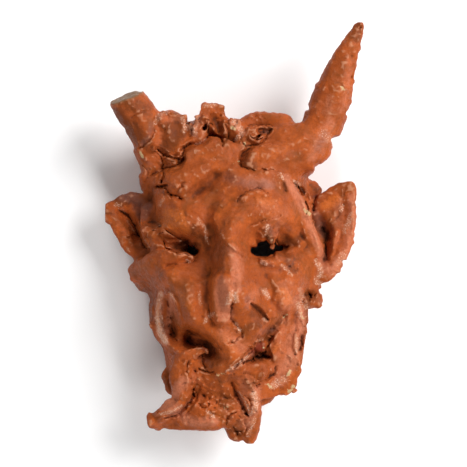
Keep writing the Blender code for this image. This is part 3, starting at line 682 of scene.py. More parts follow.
marks.cut(5, (203, 355, 2), (203, 361, 2.6), (206, 367, 2))
marks.cut(4, (199, 368, 1.5), (207, 371, 1.8), (214, 371, 1.5))
marks.fill(79, (281, 320, 4), (274, 327, 6), (268, 334, 6))
marks.swell(-3, (281, 320, 4), (274, 328, 6), (267, 334, 7))
marks.crumble(2.2, 2.2, 34, (280, 322, 4), (268, 334, 6), (256, 343, 4))
marks.swell(-5, (250, 348, 3.5), (242, 357, 3.5), (234, 365, 3))
marks.cut(3, (252, 350, 1.3), (244, 358, 1.5), (237, 364, 1.2))
marks.cut(9, (243, 362, 1.6), (251, 359, 2.4), (260, 357, 3.2), (268, 357, 2.6))
marks.cut(4, (255, 341, 1.2), (254, 348, 1.5), (258, 353, 1.6), (265, 352, 1.5), (268, 345, 1.2))
marks.fold(6, 8, (275, 366, 1.2), (272, 356, 1.2), (269, 345, 1.2), (275, 334, 1.4), (285, 322, 2))
marks.fold(3, 5, (226, 366, 2), (236, 358, 2), (247, 352, 2), (256, 350, 2))
marks.cut(3, (228, 342, 1.6), (234, 340, 1.8), (241, 334, 1.6))
marks.crumble(1.5, 1.7, 60, (246, 350, 6), (254, 344, 3), (240, 362, 6), (230, 372, 6), (252, 374, 8))
marks.swell(4, (248, 367, 6), (256, 364, 6))
marks.swell(4, (262, 373, 6), (270, 370, 5))
marks.swell(3.5, (247, 380, 5), (252, 386, 4))
marks.swell(3, (272, 379, 4), (262, 386, 5))
marks.cut(2.5, (243, 372, 1.4), (251, 374, 2.0), (258, 379, 1.4))
marks.cut(2.5, (276, 366, 1.2), (274, 374, 1.6), (266, 380, 1.4))
marks.crumble(2.2, 1.8, 50, (246, 382, 5), (258, 383, 6), (268, 372, 4))
marks.drag(1.2, 26, 7, (292, 300, 3.5), (290, 325, 4), (287, 350, 4), (280, 375, 4))
marks.cut(2, (281, 352, 1.0), (289, 357, 1.3), (297, 363, 1.0))
marks.fold(2.5, 5, (297, 364, 1.2), (289, 358, 1.2), (281, 353, 1.2), (280, 345, 1.5))
marks.swell(-6, (301, 337, 3), (301, 344, 4), (300, 350, 3))
marks.swell(3, (296, 334, 3), (295, 344, 3), (297, 353, 3))
marks.cut(5, (309, 292, 1.5), (311, 296, 2.2), (310, 300, 1.5))
marks.swell(-2.5, (297, 300, 4), (295, 316, 4), (296, 330, 4))
marks.swell(2.5, (290, 300, 4), (288, 316, 4), (288, 330, 4))
marks.crumble(1.5, 1.6, 40, (303, 292, 5), (318, 296, 5), (306, 306, 5))
marks.crumble(1.7, 1.9, 80, (302, 300, 7), (303, 325, 6), (299, 350, 7), (292, 370, 8), (280, 385, 9))
marks.done()
print("nose, cheeks and mouth marked")

# %% [markdown]
# ## Beard
#
# The beard is a ragged block with one long lock that sweeps to the left and a short one on the right.
# A tool cut between them goes deep. Everything else is dents and crumbs. Strands of hair would be too
# neat for it: this clay was torn and never combed, so it is marked as one block.

# %% Mark the beard
marks = Marks(clay)
marks.swell(9, (197, 387, 4), (190, 402, 5), (181, 412, 5), (166, 418, 4))
marks.cut(6, (194, 388, 1.4), (192, 398, 2.6), (184, 408, 3.0), (176, 415, 2.8), (164, 419, 1.6))
marks.cut(4, (194, 388, 1.4), (196, 392, 1.8), (194, 396, 1.2))
marks.fold(3, 6, (158, 418, 2), (172, 412, 2), (184, 402, 2), (190, 388, 2))
marks.swell(5, (231, 380, 4), (237, 394, 5), (243, 405, 5), (248, 416, 4))
marks.cut(7, (232, 382, 1.6), (236, 392, 3.2), (242, 404, 3.2), (248, 415, 1.8))
marks.fold(2.5, 4, (234, 379, 1.5), (240, 390, 1.5), (246, 402, 1.5), (252, 415, 1.5))
marks.cut(3.5, (200, 403, 1.2), (203, 407, 1.6), (208, 406, 1.5), (209, 402, 1.2))
marks.swell(2, (180, 424, 4), (196, 423, 4), (214, 421, 4))
marks.cut(1.5, (210, 412, 1.2), (220, 416, 1.5), (226, 420, 1.2))
marks.cut(4, (226, 424, 1.3), (228, 416, 1.7), (236, 411, 1.3))
marks.cut(4, (233, 427, 1.4), (236, 431, 2.0), (237, 435, 1.3))
marks.cut(2.5, (245, 394, 1.2), (250, 400, 1.5), (251, 408, 1.2))
marks.cut(2.5, (244, 420, 1.3), (247, 428, 1.6), (244, 436, 1.3))
marks.drag(1.2, 16, 5, (186, 368, 3), (185, 385, 3), (178, 399, 3), (164, 411, 3), (152, 420, 3))
marks.drag(1.0, 14, 4, (172, 424, 3), (195, 421, 3.4), (220, 419, 3))
marks.crumble(1.4, 2.4, 90, (205, 384, 10), (218, 392, 11), (210, 404, 10), (228, 402, 8))
marks.drag(1.6, 20, 6, (200, 384, 3), (212, 394, 3), (224, 402, 3), (234, 404, 3))
marks.crumble(1.8, 2.0, 70, (250, 386, 9), (254, 402, 7), (246, 420, 9), (240, 434, 8))
marks.crumble(1.2, 2.0, 40, (165, 424, 6), (190, 420, 7), (212, 420, 7))
marks.done()
print("beard marked")

# %% [markdown]
# ## Grog and wobble
#
# Coarse clay is never quite smooth. Two Displace modifiers with cloud textures press a slow wobble and
# a fine grain into the whole skin. A bump in the material could fake the grain, but it would be gone
# in the exported mesh, so the part of it that a finger can feel is real.

# %% Wobble and grain
def clouds(name, size, depth):
    """A cloud texture with blobs of that size."""
    texture = bpy.data.textures.new(name, "CLOUDS")
    texture.noise_scale = size
    texture.noise_depth = depth
    return texture


WOBBLE_WIDE = 0.014
WOBBLE_HIGH = 0.0016
GROG_WIDE = 0.0035
GROG_HIGH = 0.0011
press_on(clay, "DISPLACE", texture=clouds("slow_wobble", WOBBLE_WIDE, 2), texture_coords="LOCAL",
         strength=WOBBLE_HIGH, mid_level=0.5)
press_on(clay, "DISPLACE", texture=clouds("grog", GROG_WIDE, 2), texture_coords="LOCAL",
         strength=GROG_HIGH, mid_level=0.5)
press_on(clay, "SMOOTH", factor=0.4, iterations=1)
print("wobble", WOBBLE_HIGH * 1000, "mm and grain", GROG_HIGH * 1000, "mm high")

# %% [markdown]
# ## Flat rim and fewer faces
#
# The rim at the back was ground flat on a board, so points that the steps above pushed through the
# table are put back on it. Then a Decimate modifier takes faces away where the skin is smooth, mostly
# in the hollow behind, and leaves the marks as fine as they are. It moves a few points by a hair, so
# the rim is flattened once more after it.

# %% Flatten the rim and thin the mesh
MOST_TRIANGLES = 190000
RIM_BAND = 0.0012


def flatten_rim(obj):
    """Points close to the table put on it, and none left outside the box of the solid."""
    mesh = obj.data
    co = np.zeros(len(mesh.vertices) * 3, np.float32)
    mesh.vertices.foreach_get("co", co)
    co = co.reshape(-1, 3)
    co[:, 2] = np.where(co[:, 2] < RIM_BAND, 0.0, co[:, 2])
    co = np.clip(co, np.array(solid_box[0]), np.array(solid_box[1])).astype(np.float32)
    mesh.vertices.foreach_set("co", co.ravel())
    mesh.update()


flatten_rim(clay)
triangles = sum(len(face.vertices) - 2 for face in clay.data.polygons)
press_on(clay, "DECIMATE", decimate_type="COLLAPSE", ratio=min(1.0, MOST_TRIANGLES / triangles))
flatten_rim(clay)
select_only(clay)
bpy.ops.object.shade_smooth()
print("thinned from", triangles, "to", len(clay.data.polygons), "triangles")

# %% [markdown]
# ## Where the stain lies
#
# The mask was stained dark and rubbed back, so the stain stays in the hollows and the edges come out
# pale. The depth of a place is measured as the distance to a smoothed copy of the skin: below it is a
# hollow, above it an edge. Two sizes of smoothing find the thin cracks and the wide hollows. The cloth
# only reached what faces up, so edges on the sides are left out. These and the painted layers are kept
# as attributes of the mesh, which the material reads.

# %% Measure hollows and edges
FINE_ROUNDS = 4
BROAD_ROUNDS = 110
CRACK_DEPTH = 0.0008
HOLLOW_DEPTH = 0.0045
EDGE_HEIGHT = 0.0004


def read_points(mesh):
    """Places and normals of the points, and the pairs that the edges join."""
    co = np.zeros(len(mesh.vertices) * 3, np.float32)
    mesh.vertices.foreach_get("co", co)
    normal = np.zeros(len(mesh.vertices) * 3, np.float32)
    mesh.vertex_normals.foreach_get("vector", normal)
    edges = np.zeros(len(mesh.edges) * 2, np.int32)
    mesh.edges.foreach_get("vertices", edges)
    return co.reshape(-1, 3).astype(float), normal.reshape(-1, 3).astype(float), edges.reshape(-1, 2)


def smoothed(values, edges, rounds):
    """Each row replaced by the mean of its neighbours, that many times."""
    a, b = edges.T
    count = np.bincount(a, minlength=len(values)) + np.bincount(b, minlength=len(values))
    for _ in range(rounds):
        rows = []
        for column in values.T:
            rows.append(np.bincount(a, column[b], len(values)) + np.bincount(b, column[a], len(values)))
        values = 0.5 * values + 0.5 * np.array(rows).T / count[:, None]
    return values


def keep_attribute(mesh, name, values):
    """A number from 0 to 1 for every point, kept on the mesh under that name."""
    attribute = mesh.attributes.get(name) or mesh.attributes.new(name, "FLOAT", "POINT")
    attribute.data.foreach_set("value", np.clip(values, 0, 1).astype(np.float32))


co, normal, edges = read_points(clay.data)
fine = ((smoothed(co, edges, FINE_ROUNDS) - co) * normal).sum(axis=1)
broad = ((smoothed(co, edges, BROAD_ROUNDS) - co) * normal).sum(axis=1)
keep_attribute(clay.data, "crack", fine / CRACK_DEPTH)
keep_attribute(clay.data, "hollow", broad / HOLLOW_DEPTH)
rubbed = np.clip(1.6 * normal[:, 2] - 0.6, 0, 1)
keep_attribute(clay.data, "edge", -fine / EDGE_HEIGHT * rubbed)
print("deepest crack", round(fine.max() * 1000, 2), "mm, highest edge", round(-fine.min() * 1000, 2), "mm")

# %% [markdown]
# ## Painted patches
#
# Some colours have nothing to do with depth: a pink blush where a pale slip was brushed on, mauve dust
# by the ears, brown down the left side, bright orange where it was rubbed most, cream chips and white
# flecks where the skin is gone. Painting on a picture would need an unwrapped mesh. Instead each is a
# layer between 0 and 1, dabbed on with the same soft lines as the marks and kept on the points.

# %% Dab the layers on
FULL_TO_THE_EDGE = ("chip", "fleck")


class Layers(Marks):
    """Layers of colour over the front, each a number for every point."""

    def __init__(self, obj):
        super().__init__(obj)
        self.values = {}

    def dab(self, layer, strength, *points):
        """Colour along the points, where it is stronger than what the layer has there."""
        values = self.values.setdefault(layer, np.zeros(len(self.x)))
        index, u = self.along(points)
        share = strength * u * (2 - u) if layer in FULL_TO_THE_EDGE else strength * u
        values[index] = np.maximum(values[index], share)

    def done(self):
        """Keeps the layers on the mesh, faded out on the steep sides."""
        for layer, values in self.values.items():
            keep_attribute(self.mesh, layer, values * np.clip(self.up * 1.5, 0, 1))


# Layer, strength, then points of x, y and radius
DABS = (
    # Pale pink slip: nose, temple strap, base of the long horn, right side
    ("blush", 1.0, (223, 282, 10), (223, 298, 12), (226, 314, 11)),
    ("blush", 0.8, (233, 250, 9), (237, 270, 10), (236, 288, 8)),
    ("blush", 0.9, (286, 178, 6), (300, 202, 7), (310, 225, 7), (320, 250, 7), (325, 268, 8)),
    ("blush", 0.65, (330, 122, 10), (322, 140, 13), (312, 158, 10)),
    ("blush", 0.5, (348, 66, 7), (346, 90, 7), (342, 110, 8)),
    ("blush", 0.8, (296, 300, 8), (300, 318, 8), (292, 340, 11), (290, 360, 13), (280, 380, 11)),
    ("blush", 0.8, (352, 195, 6), (352, 225, 8), (346, 250, 9), (332, 272, 9)),
    ("blush", 0.9, (255, 390, 8), (255, 405, 7), (248, 425, 8)),
    ("blush", 0.8, (234, 124, 8), (243, 134, 6)),
    ("blush", 0.8, (198, 112, 5), (198, 122, 6), (194, 133, 6)),
    ("blush", 0.6, (160, 119, 6), (182, 120, 6), (187, 128, 5)),
    ("blush", 0.9, (184, 380, 9), (172, 402, 9), (190, 421, 9), (215, 421, 8)),
    ("blush", 0.8, (302, 326, 7), (298, 346, 7), (296, 362, 8)),
    ("blush", 0.8, (160, 296, 4), (159, 312, 5), (158, 328, 6), (165, 342, 5), (172, 294, 4)),
    ("blush", 0.8, (250, 183, 11), (268, 186, 9)),
    ("blush", 0.55, (286, 286, 16), (284, 312, 16), (284, 345, 16), (280, 372, 16)),
    ("blush", 0.65, (226, 332, 14), (240, 345, 14)), ("blush", 0.5, (246, 382, 14), (242, 424, 12)),
    ("blush", 0.45, (262, 205, 16), (282, 215, 14)), ("blush", 0.5, (340, 205, 12), (338, 240, 12)),
    # Mauve dust: by the ears, over the forehead, beside the nose
    ("dust", 1.0, (148, 207, 7), (142, 215, 9), (134, 199, 10), (122, 197, 7)),
    ("dust", 0.75, (228, 178, 11), (248, 184, 10), (270, 186, 8)),
    ("dust", 0.3, (212, 205, 9), (208, 192, 9)),
    ("dust", 0.9, (315, 213, 7), (322, 224, 8), (324, 235, 6)),
    ("dust", 0.45, (202, 262, 7), (204, 274, 6)),
    ("dust", 0.5, (244, 284, 8), (252, 282, 8), (262, 290, 8)),
    ("dust", 0.6, (246, 296, 7), (247, 306, 6)),
    ("dust", 0.7, (268, 227, 6), (274, 235, 6), (278, 225, 5)),
    ("dust", 0.5, (284, 226, 6), (292, 231, 6)),
    ("dust", 0.7, (152, 125, 5), (150, 136, 6), (143, 144, 5)),
    ("dust", 0.6, (153, 315, 6), (154, 328, 5)),
    ("dust", 0.7, (262, 331, 6), (272, 328, 6)),
    ("dust", 0.7, (230, 370, 5), (240, 362, 5), (252, 353, 5)),
    ("dust", 0.6, (190, 400, 4), (181, 410, 4), (166, 418, 4)),
    ("dust", 0.6, (236, 392, 4), (244, 406, 4)),
    ("dust", 0.6, (262, 263, 5), (283, 268, 6), (292, 262, 6)),
    ("dust", 0.6, (195, 355, 4), (206, 360, 5), (211, 366, 4)),
    ("dust", 0.6, (140, 157, 4), (150, 164, 4)),
    ("dust", 0.7, (325, 134, 8), (318, 150, 8)),
    ("dust", 0.8, (262, 132, 5), (266, 132, 4)),
    ("dust", 0.6, (250, 160, 6),),
    ("dust", 0.7, (190, 128, 5), (196, 136, 5)),
    # Brown: the left side, which the maker left unrubbed, and soft hollows
    ("brown", 0.9, (118, 114, 11), (130, 128, 13), (145, 142, 11)),
    ("brown", 0.6, (136, 102, 12), (146, 112, 12), (122, 104, 8)),
    ("brown", 0.9, (170, 130, 13), (180, 132, 11), (168, 146, 12)),
    ("brown", 1.0, (176, 126, 9), (180, 134, 10)),
    ("brown", 0.5, (196, 229, 7),),
    ("brown", 0.9, (254, 306, 5), (260, 312, 5), (265, 317, 4)),
    ("stain", 0.35, (255, 307, 3), (262, 314, 3)),
    ("brown", 0.6, (176, 116, 8), (190, 130, 8)),
    ("brown", 1.0, (120, 199, 11), (132, 197, 11), (146, 203, 10)),
    ("brown", 0.8, (266, 232, 8), (270, 240, 6)),
    ("brown", 0.7, (284, 184, 4), (285, 191, 4)),
    ("brown", 0.7, (246, 154, 6), (246, 165, 7), (254, 168, 6)),
    ("brown", 0.8, (262, 131, 6), (268, 131, 5)),
    ("brown", 0.7, (288, 262, 8), (294, 270, 7)),
    ("brown", 0.7, (152, 406, 9), (158, 418, 8)),
    ("brown", 0.6, (152, 190, 9), (150, 200, 8)),
    ("brown", 0.7, (357, 26, 6), (353, 38, 6)),
    ("brown", 0.6, (318, 224, 8),),
    ("brown", 0.5, (232, 375, 8), (222, 380, 8)),
    ("brown", 0.5, (160, 395, 9), (158, 414, 8)),
    ("brown", 0.5, (214, 177, 11), (202, 188, 11), (188, 196, 9)),
    ("brown", 0.4, (203, 172, 7), (222, 172, 8)),
    ("brown", 0.5, (152, 226, 7), (146, 238, 6), (150, 215, 6)),
    ("glow", 0.7, (164, 226, 11), (180, 224, 11), (186, 230, 9)),
    ("glow", 0.5, (150, 232, 7), (162, 238, 7)),
    ("glow", 0.6, (210, 268, 7), (212, 290, 6), (211, 310, 6)),
    ("brown", 0.8, (176, 246, 6), (184, 243, 6)),
    ("brown", 0.7, (206, 352, 6), (210, 364, 7), (204, 370, 5)),
    ("blush", 1.0, (161, 294, 5), (160, 306, 6), (159, 320, 6), (165, 336, 6)),
    ("blush", 0.95, (172, 400, 7), (163, 407, 7)), ("blush", 1.0, (302, 312, 6), (302, 328, 6)),
    ("blush", 1.0, (290, 358, 10), (284, 368, 9)), ("blush", 0.5, (150, 165, 7), (146, 176, 6)),
    ("blush", 0.6, (330, 100, 8), (326, 112, 8)), ("dust", 0.4, (340, 255, 6), (332, 264, 6)),
    ("brown", 0.4, (345, 60, 8), (340, 78, 8)), ("stain", 0.42, (168, 130, 9), (176, 134, 8)),
    ("stain", 0.42, (126, 199, 8), (134, 200, 8)), ("stain", 0.42, (111, 214, 6),),
    ("blush", 0.6, (250, 300, 8), (256, 290, 8)),
    ("blush", 0.7, (176, 406, 5), (164, 412, 5), (156, 414, 5)),
    ("chip", 0.4, (266, 229, 4), (269, 236, 4), (271, 242, 3)),
    ("brown", 0.7, (194, 230, 8), (204, 240, 7), (208, 248, 6)),
    ("brown", 0.45, (108, 212, 7), (118, 232, 8), (130, 246, 9)),
    ("brown", 0.5, (134, 272, 9), (150, 284, 10), (162, 276, 9)),
    ("glow", 0.4, (140, 266, 9), (156, 262, 9)),
    ("brown", 0.7, (148, 300, 7), (149, 318, 6)),
    ("brown", 0.8, (284, 238, 7), (292, 243, 8), (302, 238, 6)),
    ("brown", 0.6, (280, 256, 7), (296, 258, 8)),
    ("brown", 0.35, (190, 280, 9), (186, 300, 7), (184, 318, 6)),
    ("brown", 0.25, (206, 290, 5), (205, 308, 6)),
    ("brown", 0.35, (216, 222, 5), (214, 240, 6), (218, 258, 6)),
    ("brown", 0.7, (252, 312, 8), (262, 322, 7), (248, 325, 7)),
    ("brown", 0.7, (214, 120, 6), (220, 128, 6)),
    ("brown", 0.7, (284, 184, 5), (286, 190, 5)),
    ("brown", 0.7, (168, 385, 7), (172, 393, 6)),
    ("brown", 0.35, (208, 392, 9), (222, 398, 9)),
    ("brown", 0.7, (232, 428, 7), (240, 434, 6)),
    ("brown", 0.6, (172, 313, 6), (174, 330, 6)),
    ("brown", 0.7, (300, 344, 5), (310, 296, 5)),
    ("brown", 0.6, (344, 190, 5), (338, 220, 5)),
    ("brown", 0.7, (282, 320, 4), (270, 331, 6), (260, 340, 6)),
    ("brown", 0.7, (360, 28, 5), (356, 42, 5)),
    # Dark stain: sockets, mouth, under the lumps
    ("stain", 0.9, (184, 246, 7), (192, 249, 9), (198, 246, 6)),
    ("stain", 0.6, (270, 242, 9), (280, 243, 8)),
    ("stain", 0.5, (170, 159, 8), (178, 161, 6)),
    ("stain", 0.6, (261, 132, 6), (268, 131, 5)),
    ("stain", 0.6, (190, 338, 8), (204, 344, 9), (214, 350, 8)),
    ("red", 0.6, (190, 340, 8), (204, 345, 9)),
    ("stain", 0.8, (256, 357, 8), (266, 355, 6)),
    ("stain", 0.6, (163, 190, 6), (168, 195, 5)),
    ("stain", 0.6, (320, 188, 8), (314, 185, 7)),
    ("stain", 0.6, (128, 222, 5), (136, 234, 5)),
    ("stain", 1.0, (325, 231, 6), (328, 238, 6)),
    ("stain", 0.7, (327, 250, 3),),
    ("stain", 0.8, (269, 130, 4), (272, 130, 2)),
    ("stain", 0.8, (302, 190, 3.5), (304, 194, 3)),
    # Oxblood on the pellet in the mouth and inside the loop
    ("red", 0.9, (261, 346, 7), (254, 350, 5)),
    ("red", 0.5, (167, 300, 4), (169, 312, 4)),
    # Bright orange: brow, horn, cheek, ear
    ("glow", 0.9, (282, 292, 8), (288, 300, 8)),
    ("glow", 0.35, (338, 84, 10), (330, 108, 12)),
    ("glow", 0.3, (269, 230, 5), (271, 240, 3)),
    ("glow", 0.8, (336, 200, 9), (326, 206, 8)),
    ("glow", 0.6, (268, 203, 10), (258, 200, 8)),
    ("glow", 0.8, (168, 214, 9), (180, 216, 9)),
    ("glow", 0.5, (190, 305, 7), (180, 290, 8)),
    ("glow", 0.6, (225, 335, 8), (236, 350, 7)),
    ("glow", 0.4, (282, 150, 16), (262, 158, 12)),
    ("glow", 0.5, (158, 180, 6), (150, 175, 6)),
    ("glow", 0.7, (278, 345, 5), (274, 352, 4)),
    # Chips of cream
    ("chip", 1.0, (141, 153, 2.0), (143, 158, 1.5)), ("chip", 0.9, (232, 128, 2.2), (235, 130, 1.8)),
    ("chip", 0.8, (245, 143, 1.8), (244, 148, 1.4)), ("chip", 0.8, (234, 164, 2.0), (239, 162, 1.2)),
    ("chip", 1.0, (304, 210, 2.2), (309, 214, 2.8)), ("chip", 1.0, (288, 375, 2.4), (290, 371, 2.0)),
    ("chip", 1.0, (293, 387, 3.2), (289, 392, 2.4)), ("chip", 0.9, (268, 384, 1.6), (272, 388, 1.6)),
    ("chip", 0.6, (217, 373, 2.2), (224, 373, 2.0)), ("chip", 0.55, (198, 377, 2.0), (205, 379, 1.8)),
    ("chip", 0.55, (225, 407, 1.9), (233, 406, 1.7)), ("chip", 0.8, (264, 347, 1.6),),
    ("chip", 0.9, (341, 89, 2.4), (343, 91, 2.0)),
    ("chip", 0.9, (283, 318, 1.2), (287, 314, 1.2)), ("chip", 0.7, (300, 312, 3), (303, 318, 2.4)),
    # Flecks of white where the wax and the slip were rubbed off
    ("fleck", 0.8, (228, 301, 4), (233, 293, 5), (236, 299, 4)),
    ("fleck", 0.7, (264, 290, 4), (268, 297, 3.5)),
    ("fleck", 0.7, (205, 321, 2.6), (210, 315, 3.4), (214, 312, 2.6)),
    ("fleck", 0.8, (236, 322, 2), (240, 329, 2.4)),
    ("fleck", 0.6, (199, 219, 2.4), (205, 228, 2.4), (207, 240, 2.2)),
    ("fleck", 0.4, (158, 227, 4), (164, 225, 4)),
    ("fleck", 0.8, (186, 259, 1.6), (190, 261, 2.2)), ("fleck", 0.6, (222, 234, 2), (225, 238, 2)),
    ("fleck", 0.7, (343, 206, 3), (342, 210, 3)),
    ("fleck", 0.7, (352, 214, 3), (348, 226, 4), (345, 233, 3)),
    ("fleck", 0.65, (316, 262, 3), (321, 272, 4), (316, 281, 4), (322, 284, 3)),
    ("fleck", 0.6, (300, 290, 4), (306, 308, 4)),
    ("fleck", 0.8, (261, 262, 2.4), (266, 264, 2)), ("fleck", 0.8, (263, 318, 2), (267, 320, 2)),
    ("fleck", 0.7, (282, 265, 2.6), (291, 275, 2.4)),
    ("fleck", 0.7, (298, 304, 4), (300, 316, 4)), ("fleck", 0.7, (297, 338, 2), (297, 352, 2)),
    ("fleck", 0.8, (226, 370, 2), (238, 362, 2), (248, 355, 2)),
    ("fleck", 0.8, (254, 392, 4), (256, 404, 4), (252, 412, 3)),
    ("fleck", 0.7, (238, 390, 1.6), (246, 402, 1.6), (250, 414, 2.4)),
    ("fleck", 0.7, (272, 386, 5), (284, 379, 5)),
    ("fleck", 0.7, (160, 414, 2.4), (170, 412, 2.4), (182, 405, 2)),
    ("fleck", 0.7, (208, 412, 3), (214, 416, 3)),
    ("fleck", 0.8, (161, 294, 3), (159, 306, 4), (159, 320, 4), (163, 332, 4)),
    ("fleck", 0.7, (170, 292, 2), (176, 300, 2)),
    ("fleck", 0.6, (200, 292, 2.4), (201, 304, 2.4)), ("fleck", 0.6, (256, 340, 2), (263, 338, 2)),
    ("fleck", 0.6, (156, 124, 3), (160, 116, 4), (168, 113, 3)),
    ("fleck", 0.7, (182, 119, 3), (186, 126, 4), (184, 132, 3)),
    ("fleck", 0.7, (234, 122, 4), (242, 132, 4), (236, 140, 3)),
    ("fleck", 0.6, (205, 106, 3), (216, 106, 3)),
    ("fleck", 0.6, (196, 145, 2), (206, 140, 2)), ("fleck", 0.5, (196, 153, 3),),
    ("fleck", 0.6, (214, 161, 3),),
    ("fleck", 0.6, (255, 418, 3), (248, 436, 3)), ("fleck", 0.5, (330, 140, 6), (322, 134, 6)),
    ("fleck", 0.5, (345, 255, 5), (338, 264, 4)), ("fleck", 0.5, (296, 186, 3), (306, 192, 3)),
    ("fleck", 0.6, (165, 198, 2.4), (160, 205, 3)), ("fleck", 0.5, (115, 205, 4), (124, 211, 3)),
    ("fleck", 0.8, (293, 181, 2), (300, 185, 2.4)), ("fleck", 0.7, (280, 174, 1.8), (283, 180, 1.8)),
    ("fleck", 0.7, (267, 226, 3), (266, 234, 2.4)), ("fleck", 0.7, (271, 240, 2.4),),
    ("fleck", 0.8, (316, 261, 3), (321, 268, 4), (320, 276, 4)),
    ("fleck", 1.0, (159, 318, 5), (161, 332, 5), (166, 341, 4)),
    ("fleck", 0.6, (198, 116, 4), (195, 128, 4), (195, 135, 4)),
)
layers = Layers(clay)
for layer, strength, *points in DABS:
    layers.dab(layer, strength, *points)
layers.done()
print("dabbed", len(DABS), "patches in layers", sorted(layers.values))

# %% [markdown]
# ## The break of the left horn
#
# Where the horn broke off, the clay inside was never stained, so the face of the break is a dull buff.
# It is found by its direction: a flat face that looks up and to the left at the end of the stump.

# %% Find the face of the break
BREAK_POINT = (126, 98, 64)
BREAK_FACING = np.array((-0.38, 0.91, 0.14))
BREAK_BEHIND = 0.0025
co, normal, edges = read_points(clay.data)
broken = (((co - np.array(to_world(*BREAK_POINT))) @ BREAK_FACING > -BREAK_BEHIND)
          & (normal @ BREAK_FACING > 0.55) & (co[:, 0] < to_world(150, 0, 0).x)
          & (co[:, 1] > to_world(0, 125, 0).y))
keep_attribute(clay.data, "broken", smoothed(broken[:, None].astype(float), edges, 2)[:, 0])
print("the break has", int(broken.sum()), "points")

# %% [markdown]
# ## The fired and stained clay
#
# The body colour is a mix of orange, red-brown, olive and rosy clouds of several sizes, as iron-rich
# clay fires unevenly. A single noise would look printed, so no two clouds have the same size. Over it
# lie the painted layers, each broken up with noise so that its outline is ragged. Edges are rubbed
# pale, dark stain fills the hollows and cracks, and the flecks are small round dots, as spatter is. The
# wax shows in the roughness: half gloss at most, and dull in the hollows and on the chips.

# %% Helpers for materials
class Shader:
    """Short names for the nodes that the finish uses."""

    def __init__(self, name):
        self.material = bpy.data.materials.new(name)
        self.material.use_nodes = True
        self.nodes = self.material.node_tree.nodes
        self.links = self.material.node_tree.links
        self.nodes.clear()
        self.place = self.nodes.new("ShaderNodeTexCoord").outputs["Object"]

    def wire(self, value, socket):
        """A link where the value comes from a node, and the bare value where it does not."""
        if hasattr(value, "links"):
            self.links.new(value, socket)
        else:
            socket.default_value = value

    def attribute(self, name):
        node = self.nodes.new("ShaderNodeAttribute")
        node.attribute_name = name
        return node.outputs["Fac"]

    def noise(self, size, detail=3.0, rough=0.55, stretch=(1, 1, 1), twist=0.0):
        """Clouds of about that size in metres."""
        mapping = self.nodes.new("ShaderNodeMapping")
        mapping.inputs["Scale"].default_value = stretch
        self.links.new(self.place, mapping.inputs["Vector"])
        node = self.nodes.new("ShaderNodeTexNoise")
        node.inputs["Scale"].default_value = 1.0 / size
        node.inputs["Detail"].default_value = detail
        node.inputs["Roughness"].default_value = rough
        node.inputs["Distortion"].default_value = twist
        self.links.new(mapping.outputs["Vector"], node.inputs["Vector"])
        return node.outputs["Fac"]

    def dots(self, size):
        """Scattered round dots that size apart: 1 in the middle of a dot, falling away evenly."""
        node = self.nodes.new("ShaderNodeTexVoronoi")
        node.inputs["Scale"].default_value = 1.0 / size
        self.links.new(self.place, node.inputs["Vector"])
        return self.sums("SUBTRACT", 1.0, node.outputs["Distance"])

    def span(self, value, low, high, to_low=0.0, to_high=1.0):
        """The value stretched so that low becomes to_low and high becomes to_high, and no further."""
        node = self.nodes.new("ShaderNodeMapRange")
        node.interpolation_type = "SMOOTHSTEP"
        self.wire(value, node.inputs["Value"])
        node.inputs["From Min"].default_value = low
        node.inputs["From Max"].default_value = high
        node.inputs["To Min"].default_value = to_low
        node.inputs["To Max"].default_value = to_high
        return node.outputs["Result"]

    def sums(self, operation, a, b):
        node = self.nodes.new("ShaderNodeMath")
        node.operation = operation
        self.wire(a, node.inputs[0])
        self.wire(b, node.inputs[1])
        return node.outputs[0]

    def mix(self, share, below, above):
        """The colour below with that share of the colour above laid over it."""
        node = self.nodes.new("ShaderNodeMix")
        node.data_type = "RGBA"
        self.wire(share, node.inputs["Factor"])
        self.wire(below, node.inputs[6])
        self.wire(above, node.inputs[7])
        return node.outputs[2]

    def tint(self, colour, share, most, paint):
        """The colour with a paint over it, which covers that much of it where the share is 1."""
        return self.mix(self.sums("MULTIPLY", share, most), colour, paint)


print("shader helpers ready")

# %% Material of the fired clay
ORANGE = (0.45, 0.091, 0.016, 1)
RUST = (0.205, 0.044, 0.013, 1)
GLOW = (0.54, 0.125, 0.022, 1)
PINK = (0.555, 0.185, 0.098, 1)
MAUVE = (0.195, 0.083, 0.062, 1)
OLIVE = (0.165, 0.050, 0.012, 1)
BROWN = (0.115, 0.028, 0.008, 1)
OXBLOOD = (0.13, 0.014, 0.008, 1)
SOOT = (0.030, 0.008, 0.004, 1)
CREAM = (0.52, 0.37, 0.19, 1)
WHITE = (0.66, 0.42, 0.31, 1)
PALE = (0.58, 0.27, 0.15, 1)
BUFF = (0.19, 0.115, 0.055, 1)

fired = Shader("fired_clay")
clouds_wide = fired.span(fired.noise(0.040, 3, 0.55, twist=0.6), 0.38, 0.64)
clouds_small = fired.span(fired.noise(0.009, 4, 0.65, twist=0.4), 0.38, 0.66)
wiped = fired.span(fired.noise(0.004, 4, 0.6, stretch=(1.0, 0.3, 0.6), twist=0.5), 0.36, 0.68)
speckle = fired.span(fired.noise(0.0018, 3, 0.7), 0.42, 0.68)
ragged = fired.noise(0.0045, 5, 0.75)
glints = fired.dots(0.0013)
colour = fired.tint(ORANGE, clouds_wide, 0.45, RUST)
colour = fired.tint(colour, clouds_small, 0.40, RUST)
colour = fired.tint(colour, wiped, 0.20, RUST)
olive = fired.span(fired.noise(0.016, 4, 0.65, twist=0.8), 0.46, 0.68)
rosy = fired.span(fired.noise(0.013, 4, 0.65, stretch=(1.0, 1.2, 1.4), twist=0.8), 0.50, 0.72)
colour = fired.tint(colour, olive, 0.50, OLIVE)
colour = fired.tint(colour, rosy, 0.20, PINK)


